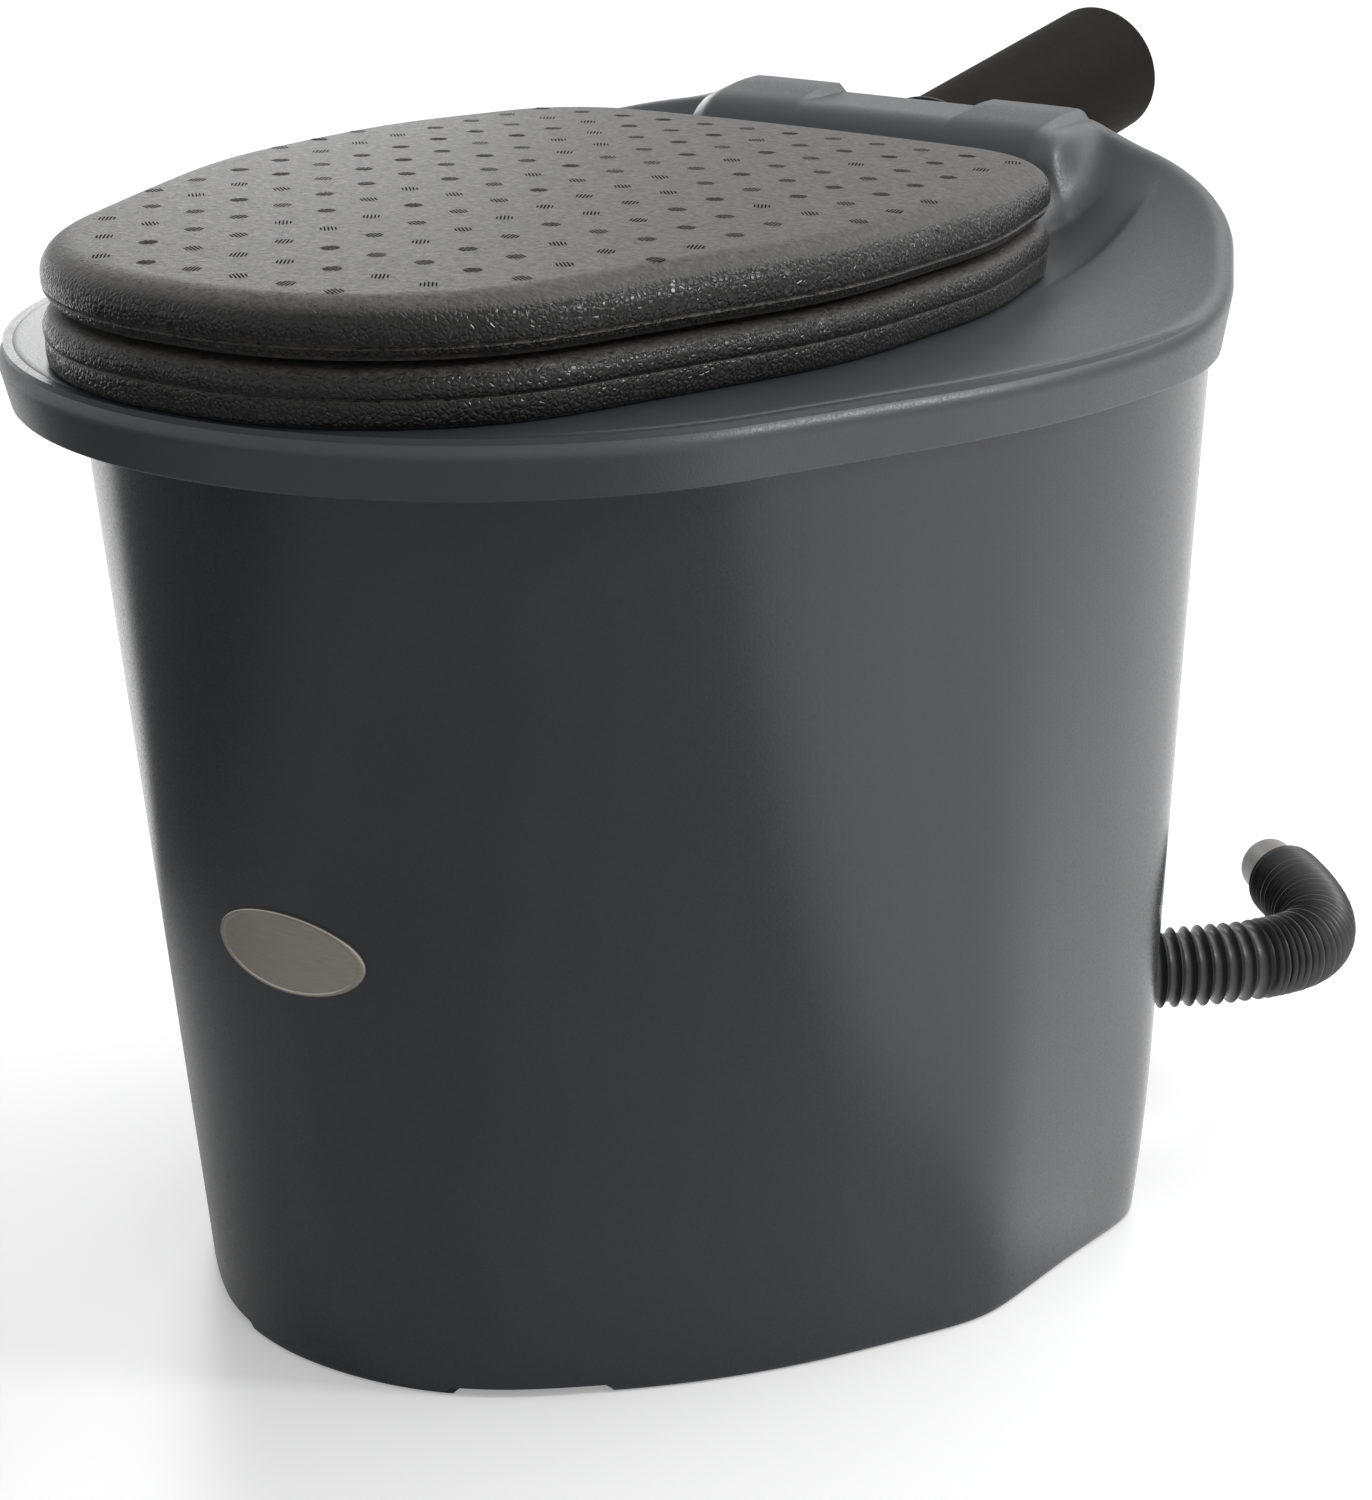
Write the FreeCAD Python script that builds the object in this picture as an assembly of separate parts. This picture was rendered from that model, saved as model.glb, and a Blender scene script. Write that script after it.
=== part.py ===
import FreeCAD, Part
import math
import os

# A floor-standing dry toilet that keeps urine apart from solids. Millimetres, +Z up.
# The floor is z = 0, the plane of symmetry is x = 0 and the front faces -Y.

# Plastic walls, clearances, the overlap of joined or cutting forms, and how closely an edge is matched
container_wall = 4.0
cover_wall = 3.5
bowl_wall = 3.0
bin_wall = 3.0
slip_gap = 0.4
seat_gap = 0.3
pin_gap = 0.05
overlap = 1.0
match = 0.1

# Outer container: corners of its foot and of its top, right half, front to back
container_height = 484.0
container_floor = 12.0
foot_height = 8.0
foot_width = 14.0
floor_pad_radius = 45.0
foot_corners = [(107, -267), (236, -31), (236, 112), (130, 230)]
foot_radii = [175, 40, 36, 60]
foot_notch_height = 6.0
foot_notch_start = 61.0
foot_notch_end = 125.0
foot_notch_depth = 117.0
lip_width = 14.0
lip_thickness = 6.0

# Cover: its rim overhangs the container all round and its deck sweeps up to the back
rim_corners = [(157, -361), (275, -54), (275, 90), (174, 265)]
rim_radii = [222, 470, 200, 165]
rim_overhang = 25.0
skirt_lap = 18.0
deck_rise = 11.0
deck_edge_radius = 10.0
sweep_start = 0.0
sweep_radius = 898.0
ledge_width = 42.0
ledge_thickness = 3.5
seal_margin = 1.0

# Raised back of the cover, with two pads for the open lid, over the vent pipe
hump_half_width = 126.0
hump_depth = 77.0
hump_roof = 2.1
hump_end_radius = 20.0
hump_edge_radius = 12.0
pad_inner = 50.0
pad_outer = 112.0
pad_depth = 50.0
pad_height = 4.5
pad_radius = 3.0

# Vent pipe
vent_radius = 37.5
vent_wall = 3.0
vent_tilt = 9.2
vent_rise = 13.0
vent_reach = 197.0
vent_insertion = 17.0
vent_spigot_radius = 36.0
vent_shoulder = 12.0
grommet_radius = 39.9
grommet_lip = 1.8
grommet_lip_thickness = 3.0

# Seat ring and lid in moulded bead foam
seat_corners = [(111, -355), (190, -112), (190, 20), (155, 151)]
seat_radii = [145, 290, 290, 70]
ring_height = 26.0
ring_top_radius = 9.0
ring_bottom_radius = 4.0
lid_gap = 3.0
lid_height = 32.0
lid_top_radius = 15.0
lid_bottom_radius = 8.0
lid_crown = 6000.0
lid_crown_centre = -95.0
lid_rest_radius = 8.0
lid_rest_gap = 0.2
lid_rest_places = [(64, -296), (151, -60)]
pocket_gap = 3.0
peg_radius = 6.0
peg_grip = 12.0
peg_reach = 14.0
peg_places = [(163, -60), (126, 112)]

# Lid hinge
hinge_back_set = 9.0
hinge_rise = 13.0
hinge_spacing = 150.0
hinge_barrel_radius = 6.5
hinge_barrel_length = 28.0
hinge_pin_radius = 3.0
hinge_pin_length = 62.0
hinge_stem_thickness = 8.0
hinge_foot_depth = 26.0
hinge_foot_thickness = 5.0
hinge_notch_gap = 3.0

# Separator bowl: front basin for urine, rear drop for solids
opening_corners = [(70, -262), (122, -170), (122, 20), (76, 72)]
opening_radii = [60, 80, 80, 60]
flange_width = 14.0
flange_thickness = 3.0
ring_overlap = 8.0
backing_margin = 6.0
basin_corners = [(66, -258), (118, -168), (118, -90)]
basin_radii = [58, 76, 22]
basin_foot_corners = [(30, -240), (46, -205), (46, -158)]
basin_foot_radii = [18, 22, 12]
basin_depth = 83.0
drop_corners = [(118, -82), (118, 18), (73, 68)]
drop_radii = [22, 76, 57]
drop_foot_corners = [(104, -76), (104, 8), (64, 52)]
drop_foot_radii = [18, 62, 45]
drop_depth = 101.0
sleeve_lip_width = 4.0
sleeve_lip_thickness = 1.5
sleeve_lip_start = -60.0

# Basin drain
drain_y = -200.0
tail_radius = 15.0
tail_wall = 2.5
tail_reach = 37.0
tail_flange_radius = 23.0
tail_flange_thickness = 2.5
gasket_radius = 22.0
gasket_thickness = 3.0
nut_across_flats = 44.0
nut_height = 11.0
strainer_thickness = 2.0
strainer_hole_radius = 1.5
strainer_ring_radius = 7.5
strainer_hole_count = 8

# Standpipe that takes the drain tail and feeds the hose inside the container
funnel_radius = 33.0
funnel_gap = 11.0
funnel_depth = 40.0
standpipe_radius = 20.0
standpipe_wall = 3.0
standpipe_foot_radius = 30.0
standpipe_foot_height = 6.0
side_tail_height = 124.0
side_tail_reach = 50.0
hose_tail_radius = 13.0
hose_tail_bore = 10.5

# Hose inside the container
inner_hose_radius = 16.0
inner_hose_lead_out = 32.0
inner_hose_points = [(148, -158, 121), (192, -62, 117)]
inner_hose_lead = 110.0
clamp_wall = 1.5
clamp_width = 10.0
clamp_inset = 6.0

# Outlet through the rear right corner of the container
outlet_centre = (189, 168, 110)
outlet_angle = 40.8
boss_radius = 36.0
boss_inside = 13.0
boss_outside = 5.0
outlet_thread_radius = 19.0
outlet_flange_radius = 30.0
outlet_flange_thickness = 4.0
outlet_seal_thickness = 2.5
outlet_nut_height = 9.0
outlet_nut_across_flats = 50.0
outlet_thread_spare = 2.0
elbow_inside = 38.0
elbow_angle = -75.0
elbow_tail_length = 46.0
outlet_spigot_length = 26.0

# Corrugated drain hose outside, drawn out where it leaves and closed up beyond
hose_crest_radius = 22.0
hose_root_radius = 18.5
hose_bore_radius = 15.0
hose_first_turn = 88.5
hose_second_turn = (257.5, 292.5, 110)
hose_end = (202, 344, 110)
drawn_length = 62.0
drawn_pitch = 7.2
closed_pitch = 3.4
hose_bend_share = 0.45
rib_foot_share = 0.10
rib_crest_share = 0.40

# Smooth cuff on the free end of the hose
cuff_radius = 16.0
cuff_bore_radius = 12.5
cuff_length = 30.0
cuff_grip = 22.0

# Solids bin
bin_corners = [(138, -148), (138, 112)]
bin_corner_radius = 60.0
bin_taper = 14.0
bin_gap = 4.0
bin_rim_width = 12.0
bin_rim_height = 10.0
grip_width = 96.0
grip_height = 24.0
grip_drop = 20.0
grip_corner_radius = 9.5

# Blank oval badge, set in its place on the front
badge_height = 226.0
badge_half_width = 43.5
badge_half_height = 20.5
badge_thickness = 1.8
badge_gap = 0.05

# Heights and places that follow from the sizes above
skirt_bottom = container_height - skirt_lap
deck_height = container_height + deck_rise
cover_back = rim_corners[-1][1]
hump_front = cover_back - hump_depth
vent_height = deck_height + vent_rise
hump_top = vent_height + grommet_radius + hump_roof
cut_low = skirt_bottom - basin_depth
cut_high = hump_top + basin_depth
ring_top = deck_height + ring_height
lid_bottom = ring_top + lid_gap
lid_top = lid_bottom + lid_height
seat_back = seat_corners[-1][1]
hinge_y = seat_back - hinge_back_set
hinge_z = ring_top + hinge_rise
basin_floor = deck_height - basin_depth
drop_bottom = deck_height - drop_depth
nut_bottom = basin_floor - bowl_wall - gasket_thickness - nut_height
funnel_top = nut_bottom - funnel_gap
tail_bottom = funnel_top - tail_reach
bin_rim_top = drop_bottom - bin_gap

UP = FreeCAD.Vector(0, 0, 1)
RIGHT = FreeCAD.Vector(1, 0, 0)


def mirrored(corners):
    """The whole outline from its right half, counter-clockwise from the front."""
    right = [FreeCAD.Vector(x, y, 0) for x, y in corners]
    left = [FreeCAD.Vector(-x, y, 0) for x, y in reversed(corners)]
    return right + left


def outline(corners, radii, z, inset=0.0):
    """A closed wire of straight runs and tangent arcs, moved inwards by inset."""
    points = mirrored(corners)
    sizes = list(radii) + list(reversed(radii))
    count = len(points)
    arcs = []
    for i in range(count):
        ahead = (points[(i + 1) % count] - points[i]).normalize()
        behind = (points[i] - points[i - 1]).normalize()
        normal_in = FreeCAD.Vector(-behind.y, behind.x, 0)
        normal_out = FreeCAD.Vector(-ahead.y, ahead.x, 0)
        bisector = normal_in + normal_out
        corner = points[i] + bisector * (inset / (1 + normal_in.dot(normal_out)))
        radius = sizes[i] - inset
        half_turn = behind.getAngle(ahead) / 2
        reach = radius * math.tan(half_turn)
        depth = radius * (1 / math.cos(half_turn) - 1)
        start = corner - behind * reach
        middle = corner + bisector.normalize() * depth
        end = corner + ahead * reach
        arcs.append([FreeCAD.Vector(p.x, p.y, z) for p in (start, middle, end)])
    edges = []
    for i in range(count):
        edges.append(Part.Arc(*arcs[i]).toShape())
        edges.append(Part.makeLine(arcs[i][2], arcs[(i + 1) % count][0]))
    return Part.Wire(edges)


def prism(corners, radii, low, high, inset=0.0):
    """An upright block with a rounded outline."""
    face = Part.Face(outline(corners, radii, low, inset))
    return face.extrude(UP * (high - low))


def tapered(low_wire, high_wire):
    """A solid with straight sides between two outlines."""
    return Part.makeLoft([low_wire, high_wire], True, True)


def rod(radius, start, end):
    """A round bar between two points."""
    axis = FreeCAD.Vector(*end) - FreeCAD.Vector(*start)
    return Part.makeCylinder(radius, axis.Length, FreeCAD.Vector(*start), axis)


def tube(outer, inner, start, end):
    """A round tube between two points."""
    return rod(outer, start, end).cut(rod(inner, start, end))


def block(x0, x1, y0, y1, z0, z1):
    """A box by its lowest and highest corners."""
    return Part.makeBox(x1 - x0, y1 - y0, z1 - z0, FreeCAD.Vector(x0, y0, z0))


def hexagon(across_flats, start, end):
    """A hexagonal bar between two points."""
    begin = FreeCAD.Vector(*start)
    axis = FreeCAD.Vector(*end) - begin
    corner = across_flats / math.sqrt(3)
    angles = [math.radians(60 * i) for i in range(7)]
    ring = [FreeCAD.Vector(corner * math.cos(a), corner * math.sin(a), 0) for a in angles]
    bar = Part.Face(Part.makePolygon(ring)).extrude(UP * axis.Length)
    bar.Placement = FreeCAD.Placement(begin, FreeCAD.Rotation(UP, axis))
    return bar


def save(name, shape):
    """Write one piece and say how large it is."""
    shape.exportStep(os.path.join("parts", name + ".step"))
    print(name, "solids", len(shape.Solids), "volume", round(shape.Volume), "valid", shape.isValid())


def container_loft(inset):
    """The leaning wall of the container as a full solid, moved inwards by inset."""
    low = outline(foot_corners, foot_radii, 0, inset)
    high = outline(rim_corners, rim_radii, container_height, inset + rim_overhang)
    return tapered(low, high)


def outlet_point(distance):
    """A point on the outlet's axis, counted outwards from the wall."""
    angle = math.radians(outlet_angle)
    x = outlet_centre[0] + distance * math.cos(angle)
    y = outlet_centre[1] + distance * math.sin(angle)
    return (x, y, outlet_centre[2])


def elbow_point(distance):
    """A point on the elbow's tail, which turns forwards inside the container."""
    angle = math.radians(elbow_angle)
    x, y, z = outlet_point(-elbow_inside)
    return (x + distance * math.cos(angle), y + distance * math.sin(angle), z)


def make_container():
    """Tub with a raised floor on a foot ring, a turned-in lip and a boss for the outlet."""
    width = 2 * rim_corners[1][0]
    inside = block(-width, width, -width, width, container_floor, container_height + overlap)
    tub = container_loft(0).cut(container_loft(container_wall).common(inside))
    tub = tub.cut(prism(foot_corners, foot_radii, -overlap, foot_height, foot_width))
    floor_pad = rod(floor_pad_radius, (0, 0, 0), (0, 0, container_floor))
    lip_low = container_height - lip_thickness
    lip = prism(rim_corners, rim_radii, lip_low, container_height, rim_overhang + container_wall / 2)
    lip = lip.cut(prism(rim_corners, rim_radii, lip_low, container_height, rim_overhang + lip_width))
    boss = rod(boss_radius, outlet_point(-boss_inside), outlet_point(boss_outside))
    tub = tub.fuse([lip, boss, floor_pad])
    for side in (-1, 1):
        ends = sorted((side * foot_notch_start, side * foot_notch_end))
        front = foot_corners[0][1]
        tub = tub.cut(block(ends[0], ends[1], front, front + foot_notch_depth, -overlap, foot_notch_height))
    hole = rod(outlet_thread_radius + slip_gap, outlet_point(-2 * boss_inside), outlet_point(2 * boss_inside))
    return tub.cut(hole).removeSplitter()


def under_deck(drop):
    """Everything below the deck's surface, which is flat and then sweeps up to the back."""
    far = 1.5 * rim_corners[1][0]
    radius = sweep_radius + drop
    low = deck_height - drop
    centre_z = deck_height + sweep_radius
    end_angle = math.asin((far - sweep_start) / radius)
    swept = [(sweep_start + radius * math.sin(a), centre_z - radius * math.cos(a))
             for a in (0, end_angle / 2, end_angle)]
    arc = [FreeCAD.Vector(-far, y, z) for y, z in swept]
    front = FreeCAD.Vector(-far, -2 * far, low)
    front_foot = FreeCAD.Vector(-far, -2 * far, 0)
    back_foot = FreeCAD.Vector(-far, arc[2].y, 0)
    edges = [Part.makeLine(front, arc[0]), Part.Arc(*arc).toShape(), Part.makeLine(arc[2], back_foot),
             Part.makeLine(back_foot, front_foot), Part.makeLine(front_foot, front)]
    return Part.Face(Part.Wire(edges)).extrude(RIGHT * (2 * far))


def hump_block(inset):
    """The raised back, kept inside the rim's outline."""
    half = hump_half_width - inset
    front = hump_front + inset
    back = cover_back + hump_depth
    body = block(-half, half, front, back, skirt_bottom, hump_top - inset)
    upright = [e for e in body.Edges if e.BoundBox.ZLength > match and e.BoundBox.YMax < front + match]
    body = body.makeFillet(hump_end_radius - inset, upright)
    upper = [e for e in body.Edges if e.BoundBox.ZMin > hump_top - inset - match
             and e.BoundBox.YMin < back - match]
    body = body.makeFillet(hump_edge_radius - inset, upper)
    return body.common(prism(rim_corners, rim_radii, cut_low, cut_high, inset))


def vent_point(y):
    """A point on the vent pipe's axis at a given distance back."""
    return (0, y, vent_height + (y - cover_back) * math.tan(math.radians(vent_tilt)))


def make_cover():
    """Shell with a deep skirt, a seat pocket, the raised back and the hole for the vent pipe."""
    skin = prism(rim_corners, rim_radii, skirt_bottom, cut_high).common(under_deck(0))
    top_edges = [e for e in skin.Edges if e.BoundBox.ZMin > deck_height - match
                 and not crosses_deck(e)]
    skin = skin.makeFillet(deck_edge_radius, top_edges)
    skin = skin.fuse(hump_block(0))
    for side in (-1, 1):
        ends = sorted((side * pad_inner, side * pad_outer))
        low = hump_front + hump_edge_radius / 2
        root = hump_top - hump_edge_radius
        pad = block(ends[0], ends[1], low, low + pad_depth, root, hump_top + pad_height)
        rounded = [e for e in pad.Edges if e.BoundBox.ZMax > hump_top]
        skin = skin.fuse(pad.makeFillet(pad_radius, rounded))
    pocket = prism(seat_corners, seat_radii, deck_height, cut_high, -pocket_gap)
    skin = skin.cut(pocket)
    hollow = prism(rim_corners, rim_radii, skirt_bottom - overlap, cut_high, cover_wall)
    hollow = hollow.common(under_deck(cover_wall))
    pocket_floor = deck_height - cover_wall
    hollow = hollow.cut(prism(seat_corners, seat_radii, pocket_floor, cut_high, -pocket_gap - cover_wall))
    ledge_low = deck_height - ledge_thickness
    ledge = prism(rim_corners, rim_radii, ledge_low, deck_height, cover_wall / 2)
    ledge = ledge.cut(prism(rim_corners, rim_radii, ledge_low, deck_height, ledge_width))
    hump_hollow = hump_block(cover_wall)
    shell = skin.cut(hollow).fuse(ledge).cut(hump_hollow)
    mouth = prism(opening_corners, opening_radii, cut_low, cut_high, -bowl_wall - slip_gap)
    shell = shell.cut(mouth)
    recess_low = deck_height - flange_thickness
    backing_edge = -flange_width - backing_margin
    backing = prism(opening_corners, opening_radii, recess_low - cover_wall, recess_low, backing_edge)
    shell = shell.cut(prism(opening_corners, opening_radii, recess_low, cut_high, -flange_width - slip_gap))
    shell = shell.fuse(backing.cut(mouth))
    for x, y in both_sides(peg_places):
        shell = shell.cut(rod(peg_radius + seat_gap, (x, y, cut_low), (x, y, cut_high)))
    bore_start = (0, cover_back - 2 * cover_wall, vent_height)
    bore = rod(grommet_radius, bore_start, (0, cover_back + cover_wall, vent_height))
    return shell.cut(bore).removeSplitter()


def crosses_deck(edge):
    """True for the seam across the deck where its sweep begins."""
    straight_across = edge.BoundBox.YLength < match and edge.BoundBox.XLength > rim_corners[1][0]
    return straight_across and abs(edge.BoundBox.YMin - sweep_start) < match


def both_sides(places):
    """Places given for the right half, with their mirror images."""
    return [(side * x, y) for x, y in places for side in (-1, 1)]


def make_seal():
    """Flat foam strip between the container's lip and the cover."""
    low = container_height
    high = deck_height - ledge_thickness
    strip = prism(rim_corners, rim_radii, low, high, rim_overhang + seal_margin)
    return strip.cut(prism(rim_corners, rim_radii, low, high, rim_overhang + lip_width - seal_margin))


def hinge_sides():
    """The two hinge centres along X."""
    return (-hinge_spacing / 2, hinge_spacing / 2)


def hinge_foot(x, gap):
    """The foot of a hinge bracket, sunk flush into the ring."""
    half = hinge_barrel_length / 2 + gap
    deep = hinge_foot_depth / 2 + gap
    low = ring_top - hinge_foot_thickness - gap
    return block(x - half, x + half, hinge_y - deep, hinge_y + deep - hinge_back_set, low, ring_top)


def make_ring():
    """Seat ring with rounded edges, pockets for the hinge brackets and holes for the pegs."""
    ring = prism(seat_corners, seat_radii, deck_height, ring_top)
    upper = [e for e in ring.Edges if e.BoundBox.ZMin > ring_top - match]
    ring = ring.makeFillet(ring_top_radius, upper)
    lower = [e for e in ring.Edges if e.BoundBox.ZMax < deck_height + match]
    ring = ring.makeFillet(ring_bottom_radius, lower)
    hole = prism(opening_corners, opening_radii, deck_height, ring_top, ring_overlap)
    ring = ring.cut(hole)
    inner = [e for e in ring.Edges if e.BoundBox.ZMin > ring_top - match
             and e.BoundBox.YMin > opening_corners[0][1] and e.BoundBox.YMax < opening_corners[-1][1]
             and abs(e.BoundBox.Center.x) < opening_corners[1][0]]
    ring = ring.makeFillet(ring_top_radius, inner)
    for x in hinge_sides():
        ring = ring.cut(hinge_foot(x, pin_gap))
    for x, y in both_sides(peg_places):
        peg_top = (x, y, deck_height + peg_grip)
        ring = ring.cut(rod(peg_radius + pin_gap, (x, y, deck_height - overlap), peg_top))
    return ring


def make_lid():
    """Crowned lid on four low rests, open below its back edge round the two hinge barrels."""
    lid = prism(seat_corners, seat_radii, lid_bottom, lid_top + lid_height)
    centre = FreeCAD.Vector(0, lid_crown_centre, lid_top - lid_crown)
    lid = lid.common(Part.makeSphere(lid_crown, centre))
    upper = [e for e in lid.Edges if e.BoundBox.ZMin > lid_bottom + lid_height / 2]
    lid = lid.makeFillet(lid_top_radius, upper)
    lower = [e for e in lid.Edges if e.BoundBox.ZMax < lid_bottom + match]
    lid = lid.makeFillet(lid_bottom_radius, lower)
    reach = hinge_barrel_radius + hinge_notch_gap
    for x in hinge_sides():
        half = hinge_barrel_length / 2 + hinge_notch_gap
        back = seat_back + overlap
        lid = lid.cut(block(x - half, x + half, hinge_y - reach, back, ring_top, hinge_z + reach))
        lid = lid.cut(hinge_bar(x, hinge_pin_radius, hinge_pin_length))
    rests = [rod(lid_rest_radius, (x, y, ring_top + lid_rest_gap), (x, y, lid_bottom + overlap))
             for x, y in both_sides(lid_rest_places)]
    return lid.fuse(rests)


def hinge_bar(x, radius, length):
    """A bar on the hinge axis, centred at x."""
    return rod(radius, (x - length / 2, hinge_y, hinge_z), (x + length / 2, hinge_y, hinge_z))


def make_hinge_brackets():
    """Two brackets: a foot in the ring, a stem and a barrel for the pin."""
    brackets = []
    for x in hinge_sides():
        half = hinge_barrel_length / 2
        thick = hinge_stem_thickness / 2
        stem = block(x - half, x + half, hinge_y - thick, hinge_y + thick, ring_top - overlap, hinge_z)
        body = hinge_foot(x, 0).fuse([stem, hinge_bar(x, hinge_barrel_radius, hinge_barrel_length)])
        body = body.cut(hinge_bar(x, hinge_pin_radius + pin_gap, hinge_barrel_length + overlap))
        brackets.append(body.removeSplitter())
    return Part.makeCompound(brackets)


def drop_funnel(grow):
    """The rear drop's tapered form, grown outwards."""
    low = outline(drop_foot_corners, drop_foot_radii, drop_bottom, -grow)
    return tapered(low, outline(drop_corners, drop_radii, deck_height, -grow))


def sleeve_lip(grow):
    """Flat lip along the sides and the back of the drop sleeve, not yet opened in the middle."""
    low = deck_height - sleeve_lip_thickness
    reach = bowl_wall + sleeve_lip_width + grow
    lip = prism(drop_corners, drop_radii, low, deck_height, -reach)
    half = drop_corners[0][0] + 2 * reach
    back = drop_corners[-1][1] + 2 * reach
    return lip.common(block(-half, half, sleeve_lip_start - grow, back, low, deck_height))


def make_bowl():
    """Hanging flange with a funnel-shaped basin in front and a hole behind for the drop sleeve."""
    flange_low = deck_height - flange_thickness
    flange = prism(opening_corners, opening_radii, flange_low, deck_height, -flange_width)

    def basin(grow):
        low = outline(basin_foot_corners, basin_foot_radii, basin_floor - grow, -grow)
        return tapered(low, outline(basin_corners, basin_radii, deck_height, -grow))

    bowl = flange.fuse(basin(bowl_wall)).cut(basin(0))
    bowl = bowl.cut(drop_funnel(bowl_wall + slip_gap)).cut(sleeve_lip(slip_gap))
    hole_low = basin_floor - bowl_wall - overlap
    hole = rod(tail_radius + slip_gap, (0, drain_y, hole_low), (0, drain_y, basin_floor + overlap))
    return bowl.cut(hole)


def make_drop_sleeve():
    """Open tapered sleeve that hangs by its lip in the bowl's rear hole, above the bin."""
    return drop_funnel(bowl_wall).fuse(sleeve_lip(0)).cut(drop_funnel(0))


def make_drain_tail():
    """Flanged tail that hangs from the basin's floor into the standpipe."""
    top = basin_floor + tail_flange_thickness
    tail = rod(tail_radius, (0, drain_y, tail_bottom), (0, drain_y, basin_floor))
    tail = tail.fuse(rod(tail_flange_radius, (0, drain_y, basin_floor), (0, drain_y, top)))
    bore = tail_radius - tail_wall
    tail = tail.cut(rod(bore, (0, drain_y, tail_bottom - overlap), (0, drain_y, top + overlap)))
    seat_radius = bore + strainer_thickness
    return tail.cut(rod(seat_radius, (0, drain_y, top - strainer_thickness), (0, drain_y, top + overlap)))


def make_strainer():
    """Flat disc with a ring of holes, let into the drain tail."""
    top = basin_floor + tail_flange_thickness
    low = top - strainer_thickness
    radius = tail_radius - tail_wall + strainer_thickness - pin_gap
    disc = rod(radius, (0, drain_y, low), (0, drain_y, top))
    for i in range(strainer_hole_count):
        angle = 2 * math.pi * i / strainer_hole_count
        x = strainer_ring_radius * math.cos(angle)
        y = drain_y + strainer_ring_radius * math.sin(angle)
        disc = disc.cut(rod(strainer_hole_radius, (x, y, low - overlap), (x, y, top + overlap)))
    return disc.cut(rod(strainer_hole_radius, (0, drain_y, low - overlap), (0, drain_y, top + overlap)))


def make_drain_gasket():
    """Rubber ring under the basin's floor."""
    high = basin_floor - bowl_wall
    low = high - gasket_thickness
    return tube(gasket_radius, tail_radius + pin_gap, (0, drain_y, low), (0, drain_y, high))


def make_drain_nut():
    """Lock nut that draws the drain tail down."""
    low = nut_bottom
    high = low + nut_height
    nut = hexagon(nut_across_flats, (0, drain_y, low), (0, drain_y, high))
    return nut.cut(rod(tail_radius + pin_gap, (0, drain_y, low - overlap), (0, drain_y, high + overlap)))


def make_standpipe():
    """Upright pipe with a funnel mouth, a plugged foot and a tail for the inner hose."""
    low = container_floor
    neck = funnel_top - funnel_depth
    outer = rod(standpipe_radius, (0, drain_y, low), (0, drain_y, neck))
    place = FreeCAD.Vector(0, drain_y, neck)
    outer = outer.fuse(Part.makeCone(standpipe_radius, funnel_radius, funnel_depth, place, UP))
    foot_top = low + standpipe_foot_height
    outer = outer.fuse(rod(standpipe_foot_radius, (0, drain_y, low), (0, drain_y, foot_top)))
    side = (side_tail_reach, drain_y, side_tail_height)
    outer = outer.fuse(rod(hose_tail_radius, (0, drain_y, side_tail_height), side))
    bore = standpipe_radius - standpipe_wall
    hollow_low = side_tail_height - hose_tail_bore
    hollow = rod(bore, (0, drain_y, hollow_low), (0, drain_y, neck))
    wide = funnel_radius - standpipe_wall
    hollow = hollow.fuse(Part.makeCone(bore, wide, funnel_depth, place, UP))
    outlet = (side_tail_reach + overlap, drain_y, side_tail_height)
    hollow = hollow.fuse(rod(hose_tail_bore, (0, drain_y, side_tail_height), outlet))
    return outer.cut(hollow)


def rounded_route(points, share):
    """Straight runs joined by tangent arcs, as edges, with the radius of each arc."""
    places = [FreeCAD.Vector(*p) for p in points]
    edges = []
    radii = []
    here = places[0]
    for i in range(1, len(places) - 1):
        to_corner = places[i] - places[i - 1]
        from_corner = places[i + 1] - places[i]
        turn = to_corner.getAngle(from_corner)
        reach = share * min(to_corner.Length, from_corner.Length)
        radius = reach / math.tan(turn / 2)
        start = places[i] - to_corner.normalize() * reach
        end = places[i] + from_corner.normalize() * reach
        inward = (from_corner - to_corner).normalize()
        middle = places[i] + inward * (radius / math.cos(turn / 2) - radius)
        edges.append(Part.makeLine(here, start))
        edges.append(Part.Arc(start, middle, end).toShape())
        radii.append(round(radius, 1))
        here = end
    edges.append(Part.makeLine(here, places[-1]))
    return edges, radii


def swept_tube(edges, outer, inner):
    """A smooth tube of straight and bent lengths along a route."""
    path = Part.Wire(edges)
    start = path.OrderedVertexes[0].Point
    direction = edges[0].tangentAt(edges[0].FirstParameter)
    solids = []
    for radius in (outer, inner):
        ring = Part.Wire(Part.makeCircle(radius, start, direction))
        solids.append(path.makePipeShell([ring], True, False))
    return solids[0].cut(solids[1])


def inner_hose_route():
    """From the standpipe's tail round the bin to the outlet's inner tail."""
    push_on = clamp_width + 2 * clamp_inset
    first = (side_tail_reach - push_on, drain_y, side_tail_height)
    lead_out = (side_tail_reach + inner_hose_lead_out, drain_y, side_tail_height)
    lead = elbow_point(inner_hose_lead)
    last = elbow_point(elbow_tail_length - push_on)
    return [first, lead_out] + inner_hose_points + [lead, last]


def make_inner_hose():
    """Smooth hose pushed over both tails."""
    edges, radii = rounded_route(inner_hose_route(), hose_bend_share)
    hose = swept_tube(edges, inner_hose_radius, hose_tail_radius)
    length = sum(e.Length for e in edges)
    section = math.pi * (inner_hose_radius ** 2 - hose_tail_radius ** 2)
    print("inner hose length", round(length, 1), "arc radii", radii)
    print("inner hose volume over section times length", round(hose.Volume / (section * length), 4))
    return hose


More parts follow.
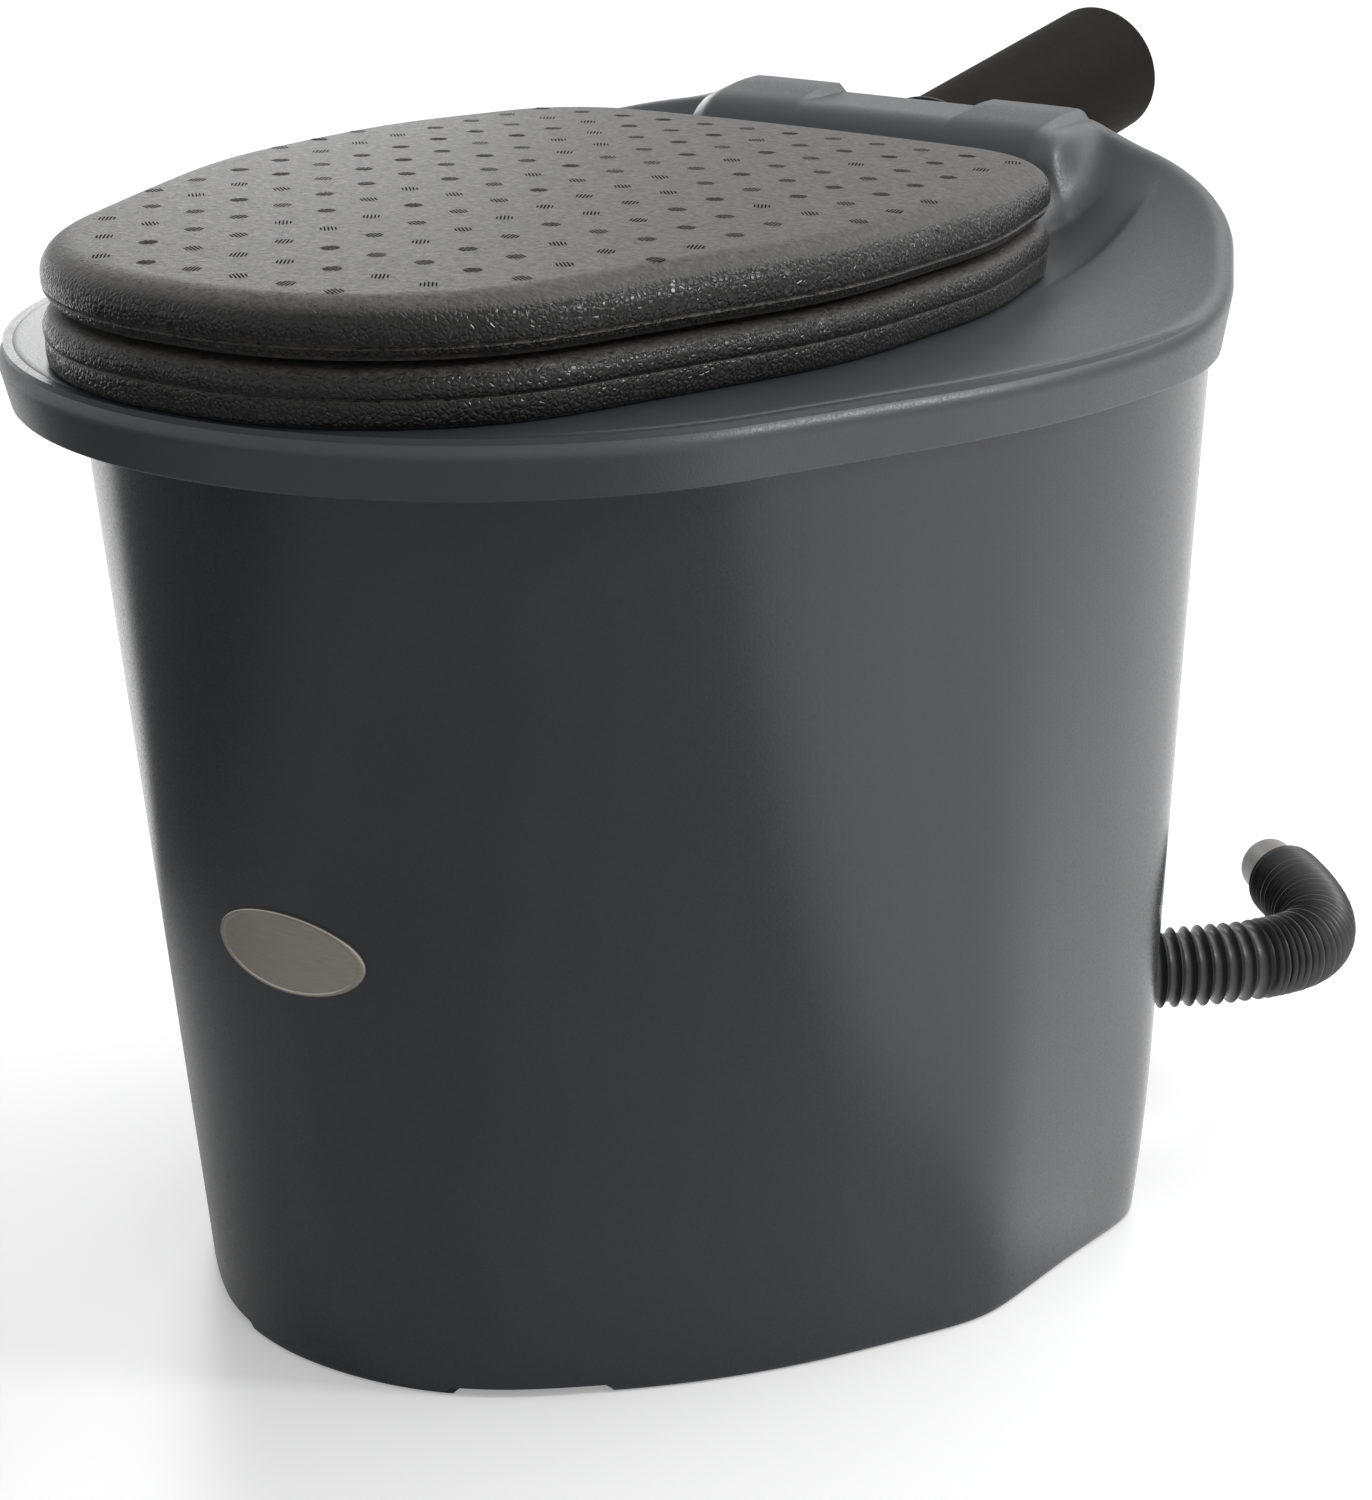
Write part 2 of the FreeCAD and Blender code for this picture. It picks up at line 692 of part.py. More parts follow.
def make_hose_clamps():
    """A band round each end of the inner hose."""
    outer = inner_hose_radius + clamp_wall
    start = side_tail_reach - clamp_inset - clamp_width
    first = tube(outer, inner_hose_radius, (start, drain_y, side_tail_height),
                 (start + clamp_width, drain_y, side_tail_height))
    inside = elbow_tail_length - clamp_inset
    second = tube(outer, inner_hose_radius, elbow_point(inside - clamp_width), elbow_point(inside))
    return Part.makeCompound([first, second])


def make_outlet_fitting():
    """Flanged pipe through the boss: thread, elbow and tail inside, spigot for the hose outside."""
    face = boss_outside + outlet_seal_thickness
    flange_end = face + outlet_flange_thickness
    fitting = rod(outlet_flange_radius, outlet_point(face), outlet_point(flange_end))
    thread_end = -boss_inside - outlet_nut_height - outlet_thread_spare
    thread = rod(outlet_thread_radius, outlet_point(thread_end), outlet_point(face))
    neck = rod(hose_tail_radius, outlet_point(-elbow_inside), outlet_point(thread_end))
    knee = Part.makeSphere(hose_tail_radius, FreeCAD.Vector(*outlet_point(-elbow_inside)))
    tail = rod(hose_tail_radius, elbow_point(0), elbow_point(elbow_tail_length))
    spigot_end = flange_end + outlet_spigot_length
    spigot = rod(hose_bore_radius - pin_gap, outlet_point(flange_end), outlet_point(spigot_end))
    fitting = fitting.fuse([thread, neck, knee, tail, spigot])
    bore = rod(hose_tail_bore, outlet_point(-elbow_inside), outlet_point(spigot_end + overlap))
    knee_bore = Part.makeSphere(hose_tail_bore, FreeCAD.Vector(*outlet_point(-elbow_inside)))
    tail_bore = rod(hose_tail_bore, elbow_point(0), elbow_point(elbow_tail_length + overlap))
    return fitting.cut(bore.fuse([knee_bore, tail_bore]))


def make_outlet_seal():
    """Rubber washer between the flange and the boss."""
    start = outlet_point(boss_outside)
    end = outlet_point(boss_outside + outlet_seal_thickness)
    return tube(outlet_flange_radius, outlet_thread_radius + pin_gap, start, end)


def make_outlet_nut():
    """Lock nut inside the container."""
    start = outlet_point(-boss_inside - outlet_nut_height)
    end = outlet_point(-boss_inside)
    nut = hexagon(outlet_nut_across_flats, start, end)
    bore_start = outlet_point(-boss_inside - 2 * outlet_nut_height)
    return nut.cut(rod(outlet_thread_radius + pin_gap, bore_start, outlet_point(0)))


def drain_hose_route():
    """From the outlet's flange, straight out, then round a tight bend to the back."""
    start = outlet_point(boss_outside + outlet_seal_thickness + outlet_flange_thickness)
    return [start, outlet_point(hose_first_turn), hose_second_turn, hose_end]


def along(edges, distance):
    """The point and direction at a distance along a route."""
    for edge in edges:
        if distance <= edge.Length or edge is edges[-1]:
            step = edge.getParameterByLength(min(distance, edge.Length))
            return edge.valueAt(step), edge.tangentAt(step)
        distance -= edge.Length


def ring_round(edges, distance, radius):
    """A circle square to the route whose seam stays on top."""
    centre, direction = along(edges, distance)
    across = direction.cross(UP).normalize()
    axes = FreeCAD.Rotation(UP, across, direction, "ZXY")
    circle = Part.makeCircle(radius)
    circle.Placement = FreeCAD.Placement(centre, axes)
    return Part.Wire(circle)


def make_drain_hose():
    """Ribbed hose with wide ribs where it is drawn out and close ribs beyond."""
    edges, radii = rounded_route(drain_hose_route(), hose_bend_share)
    length = sum(e.Length for e in edges)
    drawn_count = round(drawn_length / drawn_pitch)
    closed_count = round((length - drawn_length) / closed_pitch)
    drawn_step = drawn_length / drawn_count
    closed_step = (length - drawn_length) / closed_count
    starts = [drawn_step * i for i in range(drawn_count)]
    starts += [drawn_length + closed_step * i for i in range(closed_count)]
    steps = [drawn_step] * drawn_count + [closed_step] * closed_count
    profile = [(rib_foot_share, hose_root_radius), (rib_crest_share, hose_crest_radius),
               (1 - rib_crest_share, hose_crest_radius), (1 - rib_foot_share, hose_root_radius)]
    rings = []
    for start, step in zip(starts, steps):
        for share, radius in profile:
            rings.append(ring_round(edges, start + share * step, radius))
    rings.insert(0, ring_round(edges, 0, hose_root_radius))
    rings.append(ring_round(edges, length, hose_root_radius))
    outside = Part.makeLoft(rings, True, True)
    start = edges[0].valueAt(edges[0].FirstParameter)
    bore_ring = Part.Wire(Part.makeCircle(hose_bore_radius, start, edges[0].tangentAt(0)))
    bore = Part.Wire(edges).makePipeShell([bore_ring], True, False)
    hose = outside.cut(bore)
    crest_share = 1 - 2 * rib_crest_share
    slope_share = 2 * (rib_crest_share - rib_foot_share)
    root_share = 2 * rib_foot_share
    crest_area = math.pi * hose_crest_radius ** 2
    root_area = math.pi * hose_root_radius ** 2
    slope_area = (crest_area + root_area + math.sqrt(crest_area * root_area)) / 3
    area = crest_share * crest_area + slope_share * slope_area + root_share * root_area
    expected = (area - math.pi * hose_bore_radius ** 2) * length
    print("drain hose length", round(length, 1), "ribs", len(starts), "arc radii", radii)
    print("drain hose volume over section times length", round(hose.Volume / expected, 4))
    return hose


def make_hose_cuff():
    """Smooth sleeve pushed into the free end of the hose."""
    end = FreeCAD.Vector(*hose_end)
    before = FreeCAD.Vector(*hose_second_turn)
    direction = (end - before).normalize()
    tip = end + direction * cuff_length
    root = end - direction * cuff_grip
    cuff = rod(cuff_radius, end, tip).fuse(rod(hose_bore_radius - pin_gap, root, end))
    return cuff.cut(rod(cuff_bore_radius, root - direction, tip + direction))


def make_bin():
    """Tapered bin with a rolled rim and a moulded hand grip on each side."""
    radii = [bin_corner_radius] * len(bin_corners)
    low = container_floor
    high = bin_rim_top - bin_rim_height

    def body(grow, bottom):
        foot = outline(bin_corners, radii, bottom, bin_taper - grow)
        return tapered(foot, outline(bin_corners, radii, high, -grow))

    shell = body(0, low).cut(body(-bin_wall, low + bin_wall))
    rim = prism(bin_corners, radii, high, bin_rim_top, -bin_rim_width)
    rim = rim.cut(prism(bin_corners, radii, high, bin_rim_top, bin_wall))
    shell = shell.fuse(rim)
    side_x = bin_corners[0][0]
    middle = (bin_corners[0][1] + bin_corners[1][1]) / 2
    reach = bin_rim_width + bin_taper
    for side in (-1, 1):
        ends = sorted((side * (side_x - reach), side * (side_x + reach)))
        top = high - grip_drop
        front = middle - grip_width / 2
        grip = block(ends[0], ends[1], front, front + grip_width, top - grip_height, top)
        corners = [e for e in grip.Edges if e.BoundBox.XLength > reach]
        shell = shell.cut(grip.makeFillet(grip_corner_radius, corners))
    return shell


def make_badge():
    """Oval plate that follows the curve of the container's front."""
    ellipse = Part.Ellipse(FreeCAD.Vector(0, 0, 0), badge_half_width, badge_half_height).toShape()
    plug = Part.Face(Part.Wire(ellipse)).extrude(UP * container_height)
    turn = FreeCAD.Rotation(RIGHT, 90)
    plug.Placement = FreeCAD.Placement(FreeCAD.Vector(0, 0, badge_height), turn)
    return container_loft(-badge_gap - badge_thickness).cut(container_loft(-badge_gap)).common(plug)


def make_vent_pipe():
    """Straight pipe whose slightly reduced spigot passes through the grommet in the cover's back."""
    start = vent_point(cover_back - vent_insertion)
    shoulder = vent_point(cover_back + vent_shoulder)
    end = vent_point(cover_back + vent_reach)
    pipe = rod(vent_spigot_radius, start, shoulder).fuse(rod(vent_radius, shoulder, end))
    return pipe.cut(rod(vent_radius - vent_wall, start, end))


def make_vent_grommet():
    """Rubber ring in the back of the cover, with a lip outside and a slanted bore."""
    body = rod(grommet_radius, (0, cover_back - cover_wall, vent_height), (0, cover_back, vent_height))
    lip_end = cover_back + grommet_lip_thickness
    lip = rod(grommet_radius + grommet_lip, (0, cover_back, vent_height), (0, lip_end, vent_height))
    bore_start = vent_point(cover_back - vent_radius)
    bore = rod(vent_spigot_radius + pin_gap, bore_start, vent_point(cover_back + vent_radius))
    return body.fuse(lip).cut(bore)


def main():
    os.makedirs("parts", exist_ok=True)
    save("outer_container", make_container())
    save("badge_plate", make_badge())
    save("solids_bin", make_bin())
    save("drain_standpipe", make_standpipe())
    save("inner_hose", make_inner_hose())
    save("inner_hose_clamps", make_hose_clamps())
    save("outlet_fitting", make_outlet_fitting())
    save("outlet_seal", make_outlet_seal())
    save("outlet_nut", make_outlet_nut())
    save("drain_hose", make_drain_hose())
    save("hose_end_cuff", make_hose_cuff())
    save("cover_seal", make_seal())
    save("top_cover", make_cover())
    save("vent_grommet", make_vent_grommet())
    save("vent_pipe", make_vent_pipe())
    save("separator_bowl", make_bowl())
    save("drop_sleeve", make_drop_sleeve())
    save("drain_tail", make_drain_tail())
    save("drain_strainer", make_strainer())
    save("drain_gasket", make_drain_gasket())
    save("drain_nut", make_drain_nut())
    save("seat_ring", make_ring())
    pegs = [rod(peg_radius, (x, y, deck_height - peg_reach), (x, y, deck_height + peg_grip))
            for x, y in both_sides(peg_places)]
    save("seat_pegs", Part.makeCompound(pegs))
    save("hinge_brackets", make_hinge_brackets())
    save("seat_lid", make_lid())
    pins = [hinge_bar(x, hinge_pin_radius, hinge_pin_length) for x in hinge_sides()]
    save("lid_hinge_pins", Part.makeCompound(pins))


main()
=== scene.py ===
"""Dressed model of a urine-diverting toilet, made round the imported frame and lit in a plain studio."""

import functools
import math

import bmesh
import bpy
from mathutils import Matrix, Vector


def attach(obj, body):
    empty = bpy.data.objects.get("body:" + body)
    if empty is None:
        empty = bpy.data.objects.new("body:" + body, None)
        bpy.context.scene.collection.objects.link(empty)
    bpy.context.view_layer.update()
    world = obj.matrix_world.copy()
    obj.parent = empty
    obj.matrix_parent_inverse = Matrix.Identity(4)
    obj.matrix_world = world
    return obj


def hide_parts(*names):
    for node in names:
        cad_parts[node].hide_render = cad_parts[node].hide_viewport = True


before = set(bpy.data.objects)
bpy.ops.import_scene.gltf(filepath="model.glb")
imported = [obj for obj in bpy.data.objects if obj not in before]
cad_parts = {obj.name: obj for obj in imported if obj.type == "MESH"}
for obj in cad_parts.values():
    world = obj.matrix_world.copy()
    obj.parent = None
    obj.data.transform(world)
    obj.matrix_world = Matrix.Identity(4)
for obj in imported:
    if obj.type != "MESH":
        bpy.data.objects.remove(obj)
bpy.context.view_layer.update()

# Outer container: a tall tub with leaning sides that carries all the rest. It is moulded in charcoal
# polyethylene in one piece, with a foot ring below, a turned-in lip on top and a boss for the outlet.
MM = 0.001
ARC_STEPS = 26
RUN_STEPS = 10
WALL_POINTS = 360
foot_corners = [(60, -270), (169.5, -170), (235, -40), (240.5, 116.5), (130, 230)]
foot_radii = [147, 384, 70, 36, 60]
foot_ease = 3
top_corners = [(93, -320), (215, -187), (262, -40), (271, 106), (178, 252.5)]
top_radii = [197, 331, 480, 235, 125]
top_ease = 5
rear_tuck = 4
tuck_height = 100
tuck_reach = 60
container_height = 484
container_wall = 4
container_floor = 12
foot_height = 8
foot_width = 14
foot_edge = 3
notch_sides = (63, 125)
notch_height = 4.5
floor_pad_radius = 45
lip_width = 14
lip_thickness = 6
wall_rows = 40
inside_rows = 20
edge_steps = 4
outlet_centre = Vector((189, 168, 110))
outlet_turn = math.radians(40.8)
boss_profile = [(-13, 19.4), (-13, 36), (3.8, 36), (4.6, 35.7), (5, 34.9), (5, 19.4)]


def outline(corners, radii, inset=0.0):
    """Points round a closed outline with rounded corners, mirrored in x. Each corner gives as many points."""
    points = [Vector(c) for c in corners] + [Vector((-x, y)) for x, y in reversed(corners)]
    sizes = list(radii) + list(reversed(radii))
    count = len(points)
    arcs = []
    for i in range(count):
        before = (points[i] - points[i - 1]).normalized()
        after = (points[(i + 1) % count] - points[i]).normalized()
        left_before = Vector((-before.y, before.x))
        left_after = Vector((-after.y, after.x))
        centre = points[i] + (left_before + left_after) * (sizes[i] / (1 + left_before.dot(left_after)))
        first = math.atan2(-left_before.y, -left_before.x)
        turn = before.angle(after)
        radius = sizes[i] - inset
        angles = [first + turn * k / ARC_STEPS for k in range(ARC_STEPS + 1)]
        arcs.append([centre + radius * Vector((math.cos(a), math.sin(a))) for a in angles])
    ring = []
    for i in range(count):
        start, end = arcs[i][-1], arcs[(i + 1) % count][0]
        ring += arcs[i] + [start.lerp(end, k / RUN_STEPS) for k in range(1, RUN_STEPS)]
    return ring


def from_front(ring):
    """An outline's points in turn from the front's middle, with that place as the first."""
    count = len(ring)
    i = next(i for i in range(count) if ring[i].y < 0 and ring[i].x < 0 <= ring[(i + 1) % count].x)
    before, after = ring[i], ring[(i + 1) % count]
    start = before.lerp(after, -before.x / (after.x - before.x))
    return [start] + ring[i + 1:] + ring[:i + 1]


def spread(line, count):
    """Points at even steps along a line, without its end."""
    lengths = [0.0]
    for p, q in zip(line, line[1:]):
        lengths.append(lengths[-1] + (q - p).length)
    points = []
    i = 0
    for k in range(count):
        target = lengths[-1] * k / count
        while lengths[i + 1] < target:
            i += 1
        points.append(line[i].lerp(line[i + 1], (target - lengths[i]) / (lengths[i + 1] - lengths[i])))
    return points


def eased(ring, reach):
    """An outline with even steps, its curves eased into each other over some steps."""
    line = from_front(ring)
    points = spread(line + line[:1], WALL_POINTS)
    weights = {k: math.exp(-0.5 * (k / reach) ** 2) for k in range(-3 * reach, 3 * reach + 1)}
    total = sum(weights.values())
    return [sum((points[(i + k) % WALL_POINTS] * (w / total) for k, w in weights.items()), Vector((0, 0)))
            for i in range(WALL_POINTS)]


def smooth_step(low, high, value):
    """A soft rise from 0 to 1 between two values."""
    share = min(1.0, max(0.0, (value - low) / (high - low)))
    return share * share * (3 - 2 * share)


def at_height(ring, z):
    """A flat outline at a height."""
    return [Vector((p.x, p.y, z)) for p in ring]


def quarter(steps):
    """Sine and cosine along a quarter turn."""
    return [(math.sin(a), math.cos(a)) for a in (math.pi / 2 * k / steps for k in range(steps + 1))]


@functools.lru_cache
def wall_lines(inset):
    """The wall's outlines at the foot and at the top, set in by its thickness or an edge."""
    return (eased(outline(foot_corners, foot_radii, inset), foot_ease),
            eased(outline(top_corners, top_radii, inset), top_ease))


def wall_ring(z, inset):
    """The leaning wall at a height, straight from foot to top, with the rear tucked in near the foot."""
    low, high = wall_lines(inset)
    points = [p.lerp(q, z / container_height) for p, q in zip(low, high)]
    tuck = rear_tuck * max(0.0, 1 - z / tuck_height) ** 2
    pulled = [p - p.normalized() * tuck * smooth_step(-tuck_reach, tuck_reach, p.y) for p in points]
    return at_height(pulled, z)


def notched(ring):
    """The foot's edge, lifted off the floor at the two front notches."""
    for p in ring:
        if p.y < 0 and notch_sides[0] < abs(p.x) < notch_sides[1]:
            p.z = max(p.z, notch_height)
    return ring


def turned(start, along, profile, around=96):
    """Rings of a turned form: its profile is pairs of distance along the axis and radius."""
    axis = Vector(along).normalized()
    side = axis.orthogonal().normalized()
    other = axis.cross(side)
    angles = [2 * math.pi * k / around for k in range(around)]
    rings = []
    for distance, radius in profile:
        centre = Vector(start) + axis * distance
        if radius == 0:
            rings.append([centre])
        else:
            rings.append([centre + radius * (side * math.cos(a) + other * math.sin(a)) for a in angles])
    return rings


def add_shell(made, rings, closed=False):
    """Joins rings of points in millimetres by faces, on a piece. Rings that run up an outside look out."""
    build = bmesh.new()
    build.from_mesh(made.data)
    rows = [[build.verts.new(p * MM) for p in ring] for ring in rings]
    pairs = list(zip(rows, rows[1:]))
    if closed:
        pairs.append((rows[-1], rows[0]))
    for low, high in pairs:
        count = max(len(low), len(high))
        for k in range(count):
            n = (k + 1) % count
            if len(low) == 1:
                build.faces.new((low[0], high[n], high[k]))
            elif len(high) == 1:
                build.faces.new((low[k], low[n], high[0]))
            else:
                build.faces.new((low[k], low[n], high[n], high[k]))
    build.to_mesh(made.data)
    build.free()


def new_piece(name, rings=(), closed=False):
    """An object whose mesh is built in place, with its first shell."""
    made = bpy.data.objects.new(name, bpy.data.meshes.new(name))
    bpy.context.scene.collection.objects.link(made)
    add_shell(made, rings, closed)
    return made


def smoothed(mesh, sharp=35):
    """Smooth shading that keeps edges sharper than an angle."""
    mesh.shade_smooth()
    mesh.set_sharp_from_angle(angle=math.radians(sharp))


def settle(made, finish, slot, body, *nodes):
    """Gives a piece its finish and its place in the frame."""
    made.data.materials.clear()
    made.data.materials.append(finish)
    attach(made, body)
    if nodes:
        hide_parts(*nodes)


def linear(code):
    """A hex colour as linear red, green, blue and alpha."""
    parts = [int(code[i:i + 2], 16) / 255 for i in (1, 3, 5)]
    return [p / 12.92 if p <= 0.04045 else ((p + 0.055) / 1.055) ** 2.4 for p in parts] + [1.0]


def feed(tree, node, inputs):
    """Sets a node's values and links. A node given as a value is linked by its first output in use."""
    for key, value in inputs.items():
        if isinstance(value, bpy.types.Node):
            value = next(output for output in value.outputs if output.enabled)
        if isinstance(value, bpy.types.NodeSocket):
            tree.links.new(value, node.inputs[key])
        else:
            node.inputs[key].default_value = value


def add(tree, kind, inputs=None, **settings):
    """A node with its settings, values and links."""
    node = tree.nodes.new(kind)
    for key, value in settings.items():
        setattr(node, key, value)
    feed(tree, node, inputs or {})
    return node


def new_finish(name, **values):
    """A material with its even values on the shader, and the place that its patterns are laid by."""
    made = bpy.data.materials.new(name)
    made.use_nodes = True
    tree = made.node_tree
    feed(tree, tree.nodes["Principled BSDF"], {key.replace("_", " "): value for key, value in values.items()})
    return made, tree, add(tree, "ShaderNodeTexCoord").outputs["Object"]


def patterned(tree, tone, gloss=None, relief=None, between=(0, 1)):
    """Lays patterns over a finish: two shades, a range of roughness, and a relief's strength and depth."""
    pattern, dark, light = tone
    laid = {"Base Color": add(tree, "ShaderNodeMix", {"Factor": pattern, 6: linear(dark), 7: linear(light)},
                              data_type="RGBA")}
    if gloss:
        pattern, least, most = gloss
        laid["Roughness"] = add(tree, "ShaderNodeMapRange",
                                {"Value": pattern, "From Min": between[0], "From Max": between[1],
                                 "To Min": least, "To Max": most})
    if relief:
        pattern, strength, depth = relief
        laid["Normal"] = add(tree, "ShaderNodeBump",
                             {"Height": pattern, "Strength": strength, "Distance": depth * MM})
    feed(tree, tree.nodes["Principled BSDF"], laid)


# Rotomoulded polyethylene: a satin charcoal skin with the fine orange peel of the mould, a little cloudy.
polyethylene, tree, place = new_finish("rotomoulded_polyethylene", IOR=1.5)
cloud = add(tree, "ShaderNodeTexNoise", {"Vector": place, "Scale": 1 / (110 * MM), "Detail": 2})
peel = add(tree, "ShaderNodeTexNoise",
           {"Vector": place, "Scale": 1 / (1.6 * MM), "Detail": 3, "Roughness": 0.6})
patterned(tree, tone=(cloud, "#212326", "#292b30"), gloss=(peel, 0.20, 0.30),
          relief=(peel, 0.24, 0.22), between=(0.3, 0.7))

foot_inner = wall_lines(foot_width)[0]
pad = [p.normalized() * floor_pad_radius for p in foot_inner]
rings = [[Vector((0, 0, 0))], at_height(pad, 0), at_height(pad, foot_height)]
rings += [at_height(foot_inner, foot_height), notched(at_height(foot_inner, 0))]
rings += [notched(wall_ring(foot_edge * (1 - c), foot_edge * (1 - s))) for s, c in quarter(edge_steps)]
wall_rise = container_height - foot_edge - notch_height
rings += [wall_ring(notch_height + wall_rise * k / wall_rows, 0) for k in range(wall_rows + 1)]
rings += [wall_ring(container_height - foot_edge * (1 - s), foot_edge * (1 - c))
          for s, c in quarter(edge_steps)[1:]]
inside_top = container_height - lip_thickness
rings += [wall_ring(container_height, lip_width), wall_ring(inside_top, lip_width),
          wall_ring(inside_top, container_wall)]
rings += [wall_ring(inside_top + (container_floor - inside_top) * k / inside_rows, container_wall)
          for k in range(1, inside_rows + 1)]
rings.append([Vector((0, 0, container_floor))])
container = new_piece("container_shell", rings)
outlet_way = Vector((math.cos(outlet_turn), math.sin(outlet_turn), 0))
add_shell(container, turned(outlet_centre, outlet_way, boss_profile), closed=True)
smoothed(container.data)
settle(container, polyethylene, "charcoal_polyethylene", "container", "outer_container")

# Badge: a blank oval plate with a raised rim. It is pressed from thin aluminium and glued to the front, where
# it follows the wall's curve.
BADGE_POINTS = 96
badge_half = (43.5, 20.5)
badge_height = 226
badge_profile = [(1.0, 0.05), (1.0, 1.1), (0.992, 1.55), (0.975, 1.8), (0.945, 1.8), (0.93, 1.6),
                 (0.915, 1.35), (0.89, 1.3), (0.6, 1.3), (0.3, 1.3)]

# Satin aluminium: warm grey, rolled in one direction, so its shine is drawn out in fine lines along x.
satin_aluminium, tree, place = new_finish("satin_rolled_aluminium", Metallic=1.0)
stretched = add(tree, "ShaderNodeMapping", {"Vector": place, "Scale": (0.04, 1, 1)})
lines = add(tree, "ShaderNodeTexNoise", {"Vector": stretched, "Scale": 1 / (0.9 * MM), "Detail": 2})
patterned(tree, tone=(lines, "#8f8a81", "#a8a298"), gloss=(lines, 0.28, 0.48), relief=(lines, 0.15, 0.05))


def front_depth(x, z):
    """How far forward the wall's front stands at a place."""
    ring = wall_ring(z, 0)
    for p, q in zip(ring, ring[1:] + ring[:1]):
        if p.y < 0 and p.x <= x < q.x:
            return p.lerp(q, (x - p.x) / (q.x - p.x)).y
    return ring[0].y


def badge_ring(share, lift):
    """An oval line on the wall, lifted off it."""
    ring = []
    for k in range(BADGE_POINTS):
        x = badge_half[0] * share * math.cos(2 * math.pi * k / BADGE_POINTS)
        z = badge_height + badge_half[1] * share * math.sin(2 * math.pi * k / BADGE_POINTS)
        ring.append(Vector((x, front_depth(x, z) - lift, z)))
    return ring


badge_middle = front_depth(0, badge_height)
rings = [[Vector((0, badge_middle - badge_profile[0][1], badge_height))]]
rings += [badge_ring(share, lift) for share, lift in badge_profile]
rings.append([Vector((0, badge_middle - badge_profile[-1][1], badge_height))])
badge = new_piece("badge_oval", rings)
smoothed(badge.data, 50)
settle(badge, satin_aluminium, "badge_metal", "container", "badge_plate")

# Solids bin: a plain tapered bin with a rolled rim and two hand grips, injection moulded in dark
# polypropylene. It stands loose on the container's floor, and its shape comes with the frame.
# Moulded polypropylene: half matt dark grey with faint scuffs from use, which break up its sheen.
polypropylene, tree, place = new_finish("moulded_polypropylene", IOR=1.49)
scuffs = add(tree, "ShaderNodeTexNoise",
             {"Vector": place, "Scale": 1 / (14 * MM), "Detail": 6, "Distortion": 1.5})
patterned(tree, tone=(scuffs, "#3f4144", "#4a4c50"), gloss=(scuffs, 0.35, 0.6), relief=(scuffs, 0.08, 0.4))


def dress(finish, *nodes):
    """Gives a finish to pieces whose shape comes with the frame."""
    for node in nodes:
        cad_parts[node].material_slots[0].material = finish


dress(polypropylene, "solids_bin")

# Standpipe, drain tail and its nut: grey drain pipe and fittings of unplasticised PVC. The standpipe stands
# in the container, and the tail hangs from the basin's floor, held by its nut.
# Extruded PVC: light grey, fairly glossy, with faint draw marks along the pipe.
drain_pvc, tree, place = new_finish("extruded_grey_pvc", IOR=1.53)
drawn = add(tree, "ShaderNodeMapping", {"Vector": place, "Scale": (1, 1, 0.03)})
marks = add(tree, "ShaderNodeTexNoise", {"Vector": drawn, "Scale": 1 / (2 * MM), "Detail": 2})
patterned(tree, tone=(marks, "#7b7c7c", "#868786"), gloss=(marks, 0.24, 0.4))
dress(drain_pvc, "drain_standpipe", "drain_tail", "drain_nut")

# Hose inside the container: smooth smoky PVC hose from the standpipe to the outlet. It is pushed on at both
# ends and held by two steel bands.
HOSE_SIDES = 56
inner_hose_radius = 16
inner_hose_route = [(28, -200, 124), (55, -200, 124), (82, -200, 124), (148, -158, 121), (192, -62, 117),
                    (188.7, 36.9, 110), (176.3, 83.3, 110), (166.4, 120.0, 110)]
smooth_sizes = {"Crest radius": inner_hose_radius, "Root radius": inner_hose_radius, "Drawn length": 1,
                "Drawn pitch": 1, "Close pitch": 1, "Step": 2}
even_ribs = {"Drawn sharpness": 1.0, "Close sharpness": 1.0}
weld = 0.01


def spline_along(name, points):
    """A smooth line that a hose follows, with the route's points as its control points."""
    curve = bpy.data.curves.new(name, "CURVE")
    curve.dimensions = "3D"
    line = curve.splines.new("NURBS")
    line.points.add(len(points) - 1)
    for point, place in zip(line.points, points):
        point.co = [value * MM for value in place] + [1.0]
    line.order_u = 3
    line.use_endpoint_u = True
    line.resolution_u = 64
    made = bpy.data.objects.new(name, curve)
    bpy.context.scene.collection.objects.link(made)
    return made


def new_form(name, lead, numbers, others, result):
    """A Geometry Nodes tree with named inputs, and the identifiers that a modifier sets them by."""
    form = bpy.data.node_groups.new(name, "GeometryNodeTree")
    sockets = {}
    for key, kind in {lead: "Geometry", **dict.fromkeys(numbers, "Float"), **others}.items():
        made = form.interface.new_socket(key, in_out="INPUT", socket_type="NodeSocket" + kind)
        sockets[key] = made.identifier
    form.interface.new_socket(result, in_out="OUTPUT", socket_type="NodeSocketGeometry")
    return form, sockets


def shape_by(made, form, sockets, sizes, others):
    """Sets a form to work on an object, with its sizes in millimetres and its other inputs."""
    shaper = made.modifiers.new("form", "NODES")
    shaper.node_group = form
    for key, size in sizes.items():
        shaper[sockets[key]] = size * MM
    for key, value in others.items():
        shaper[sockets[key]] = value


def plain_mesh(made):
    """The mesh that an object gives with its modifiers."""
    graph = bpy.context.evaluated_depsgraph_get()
    return bpy.data.meshes.new_from_object(made.evaluated_get(graph))


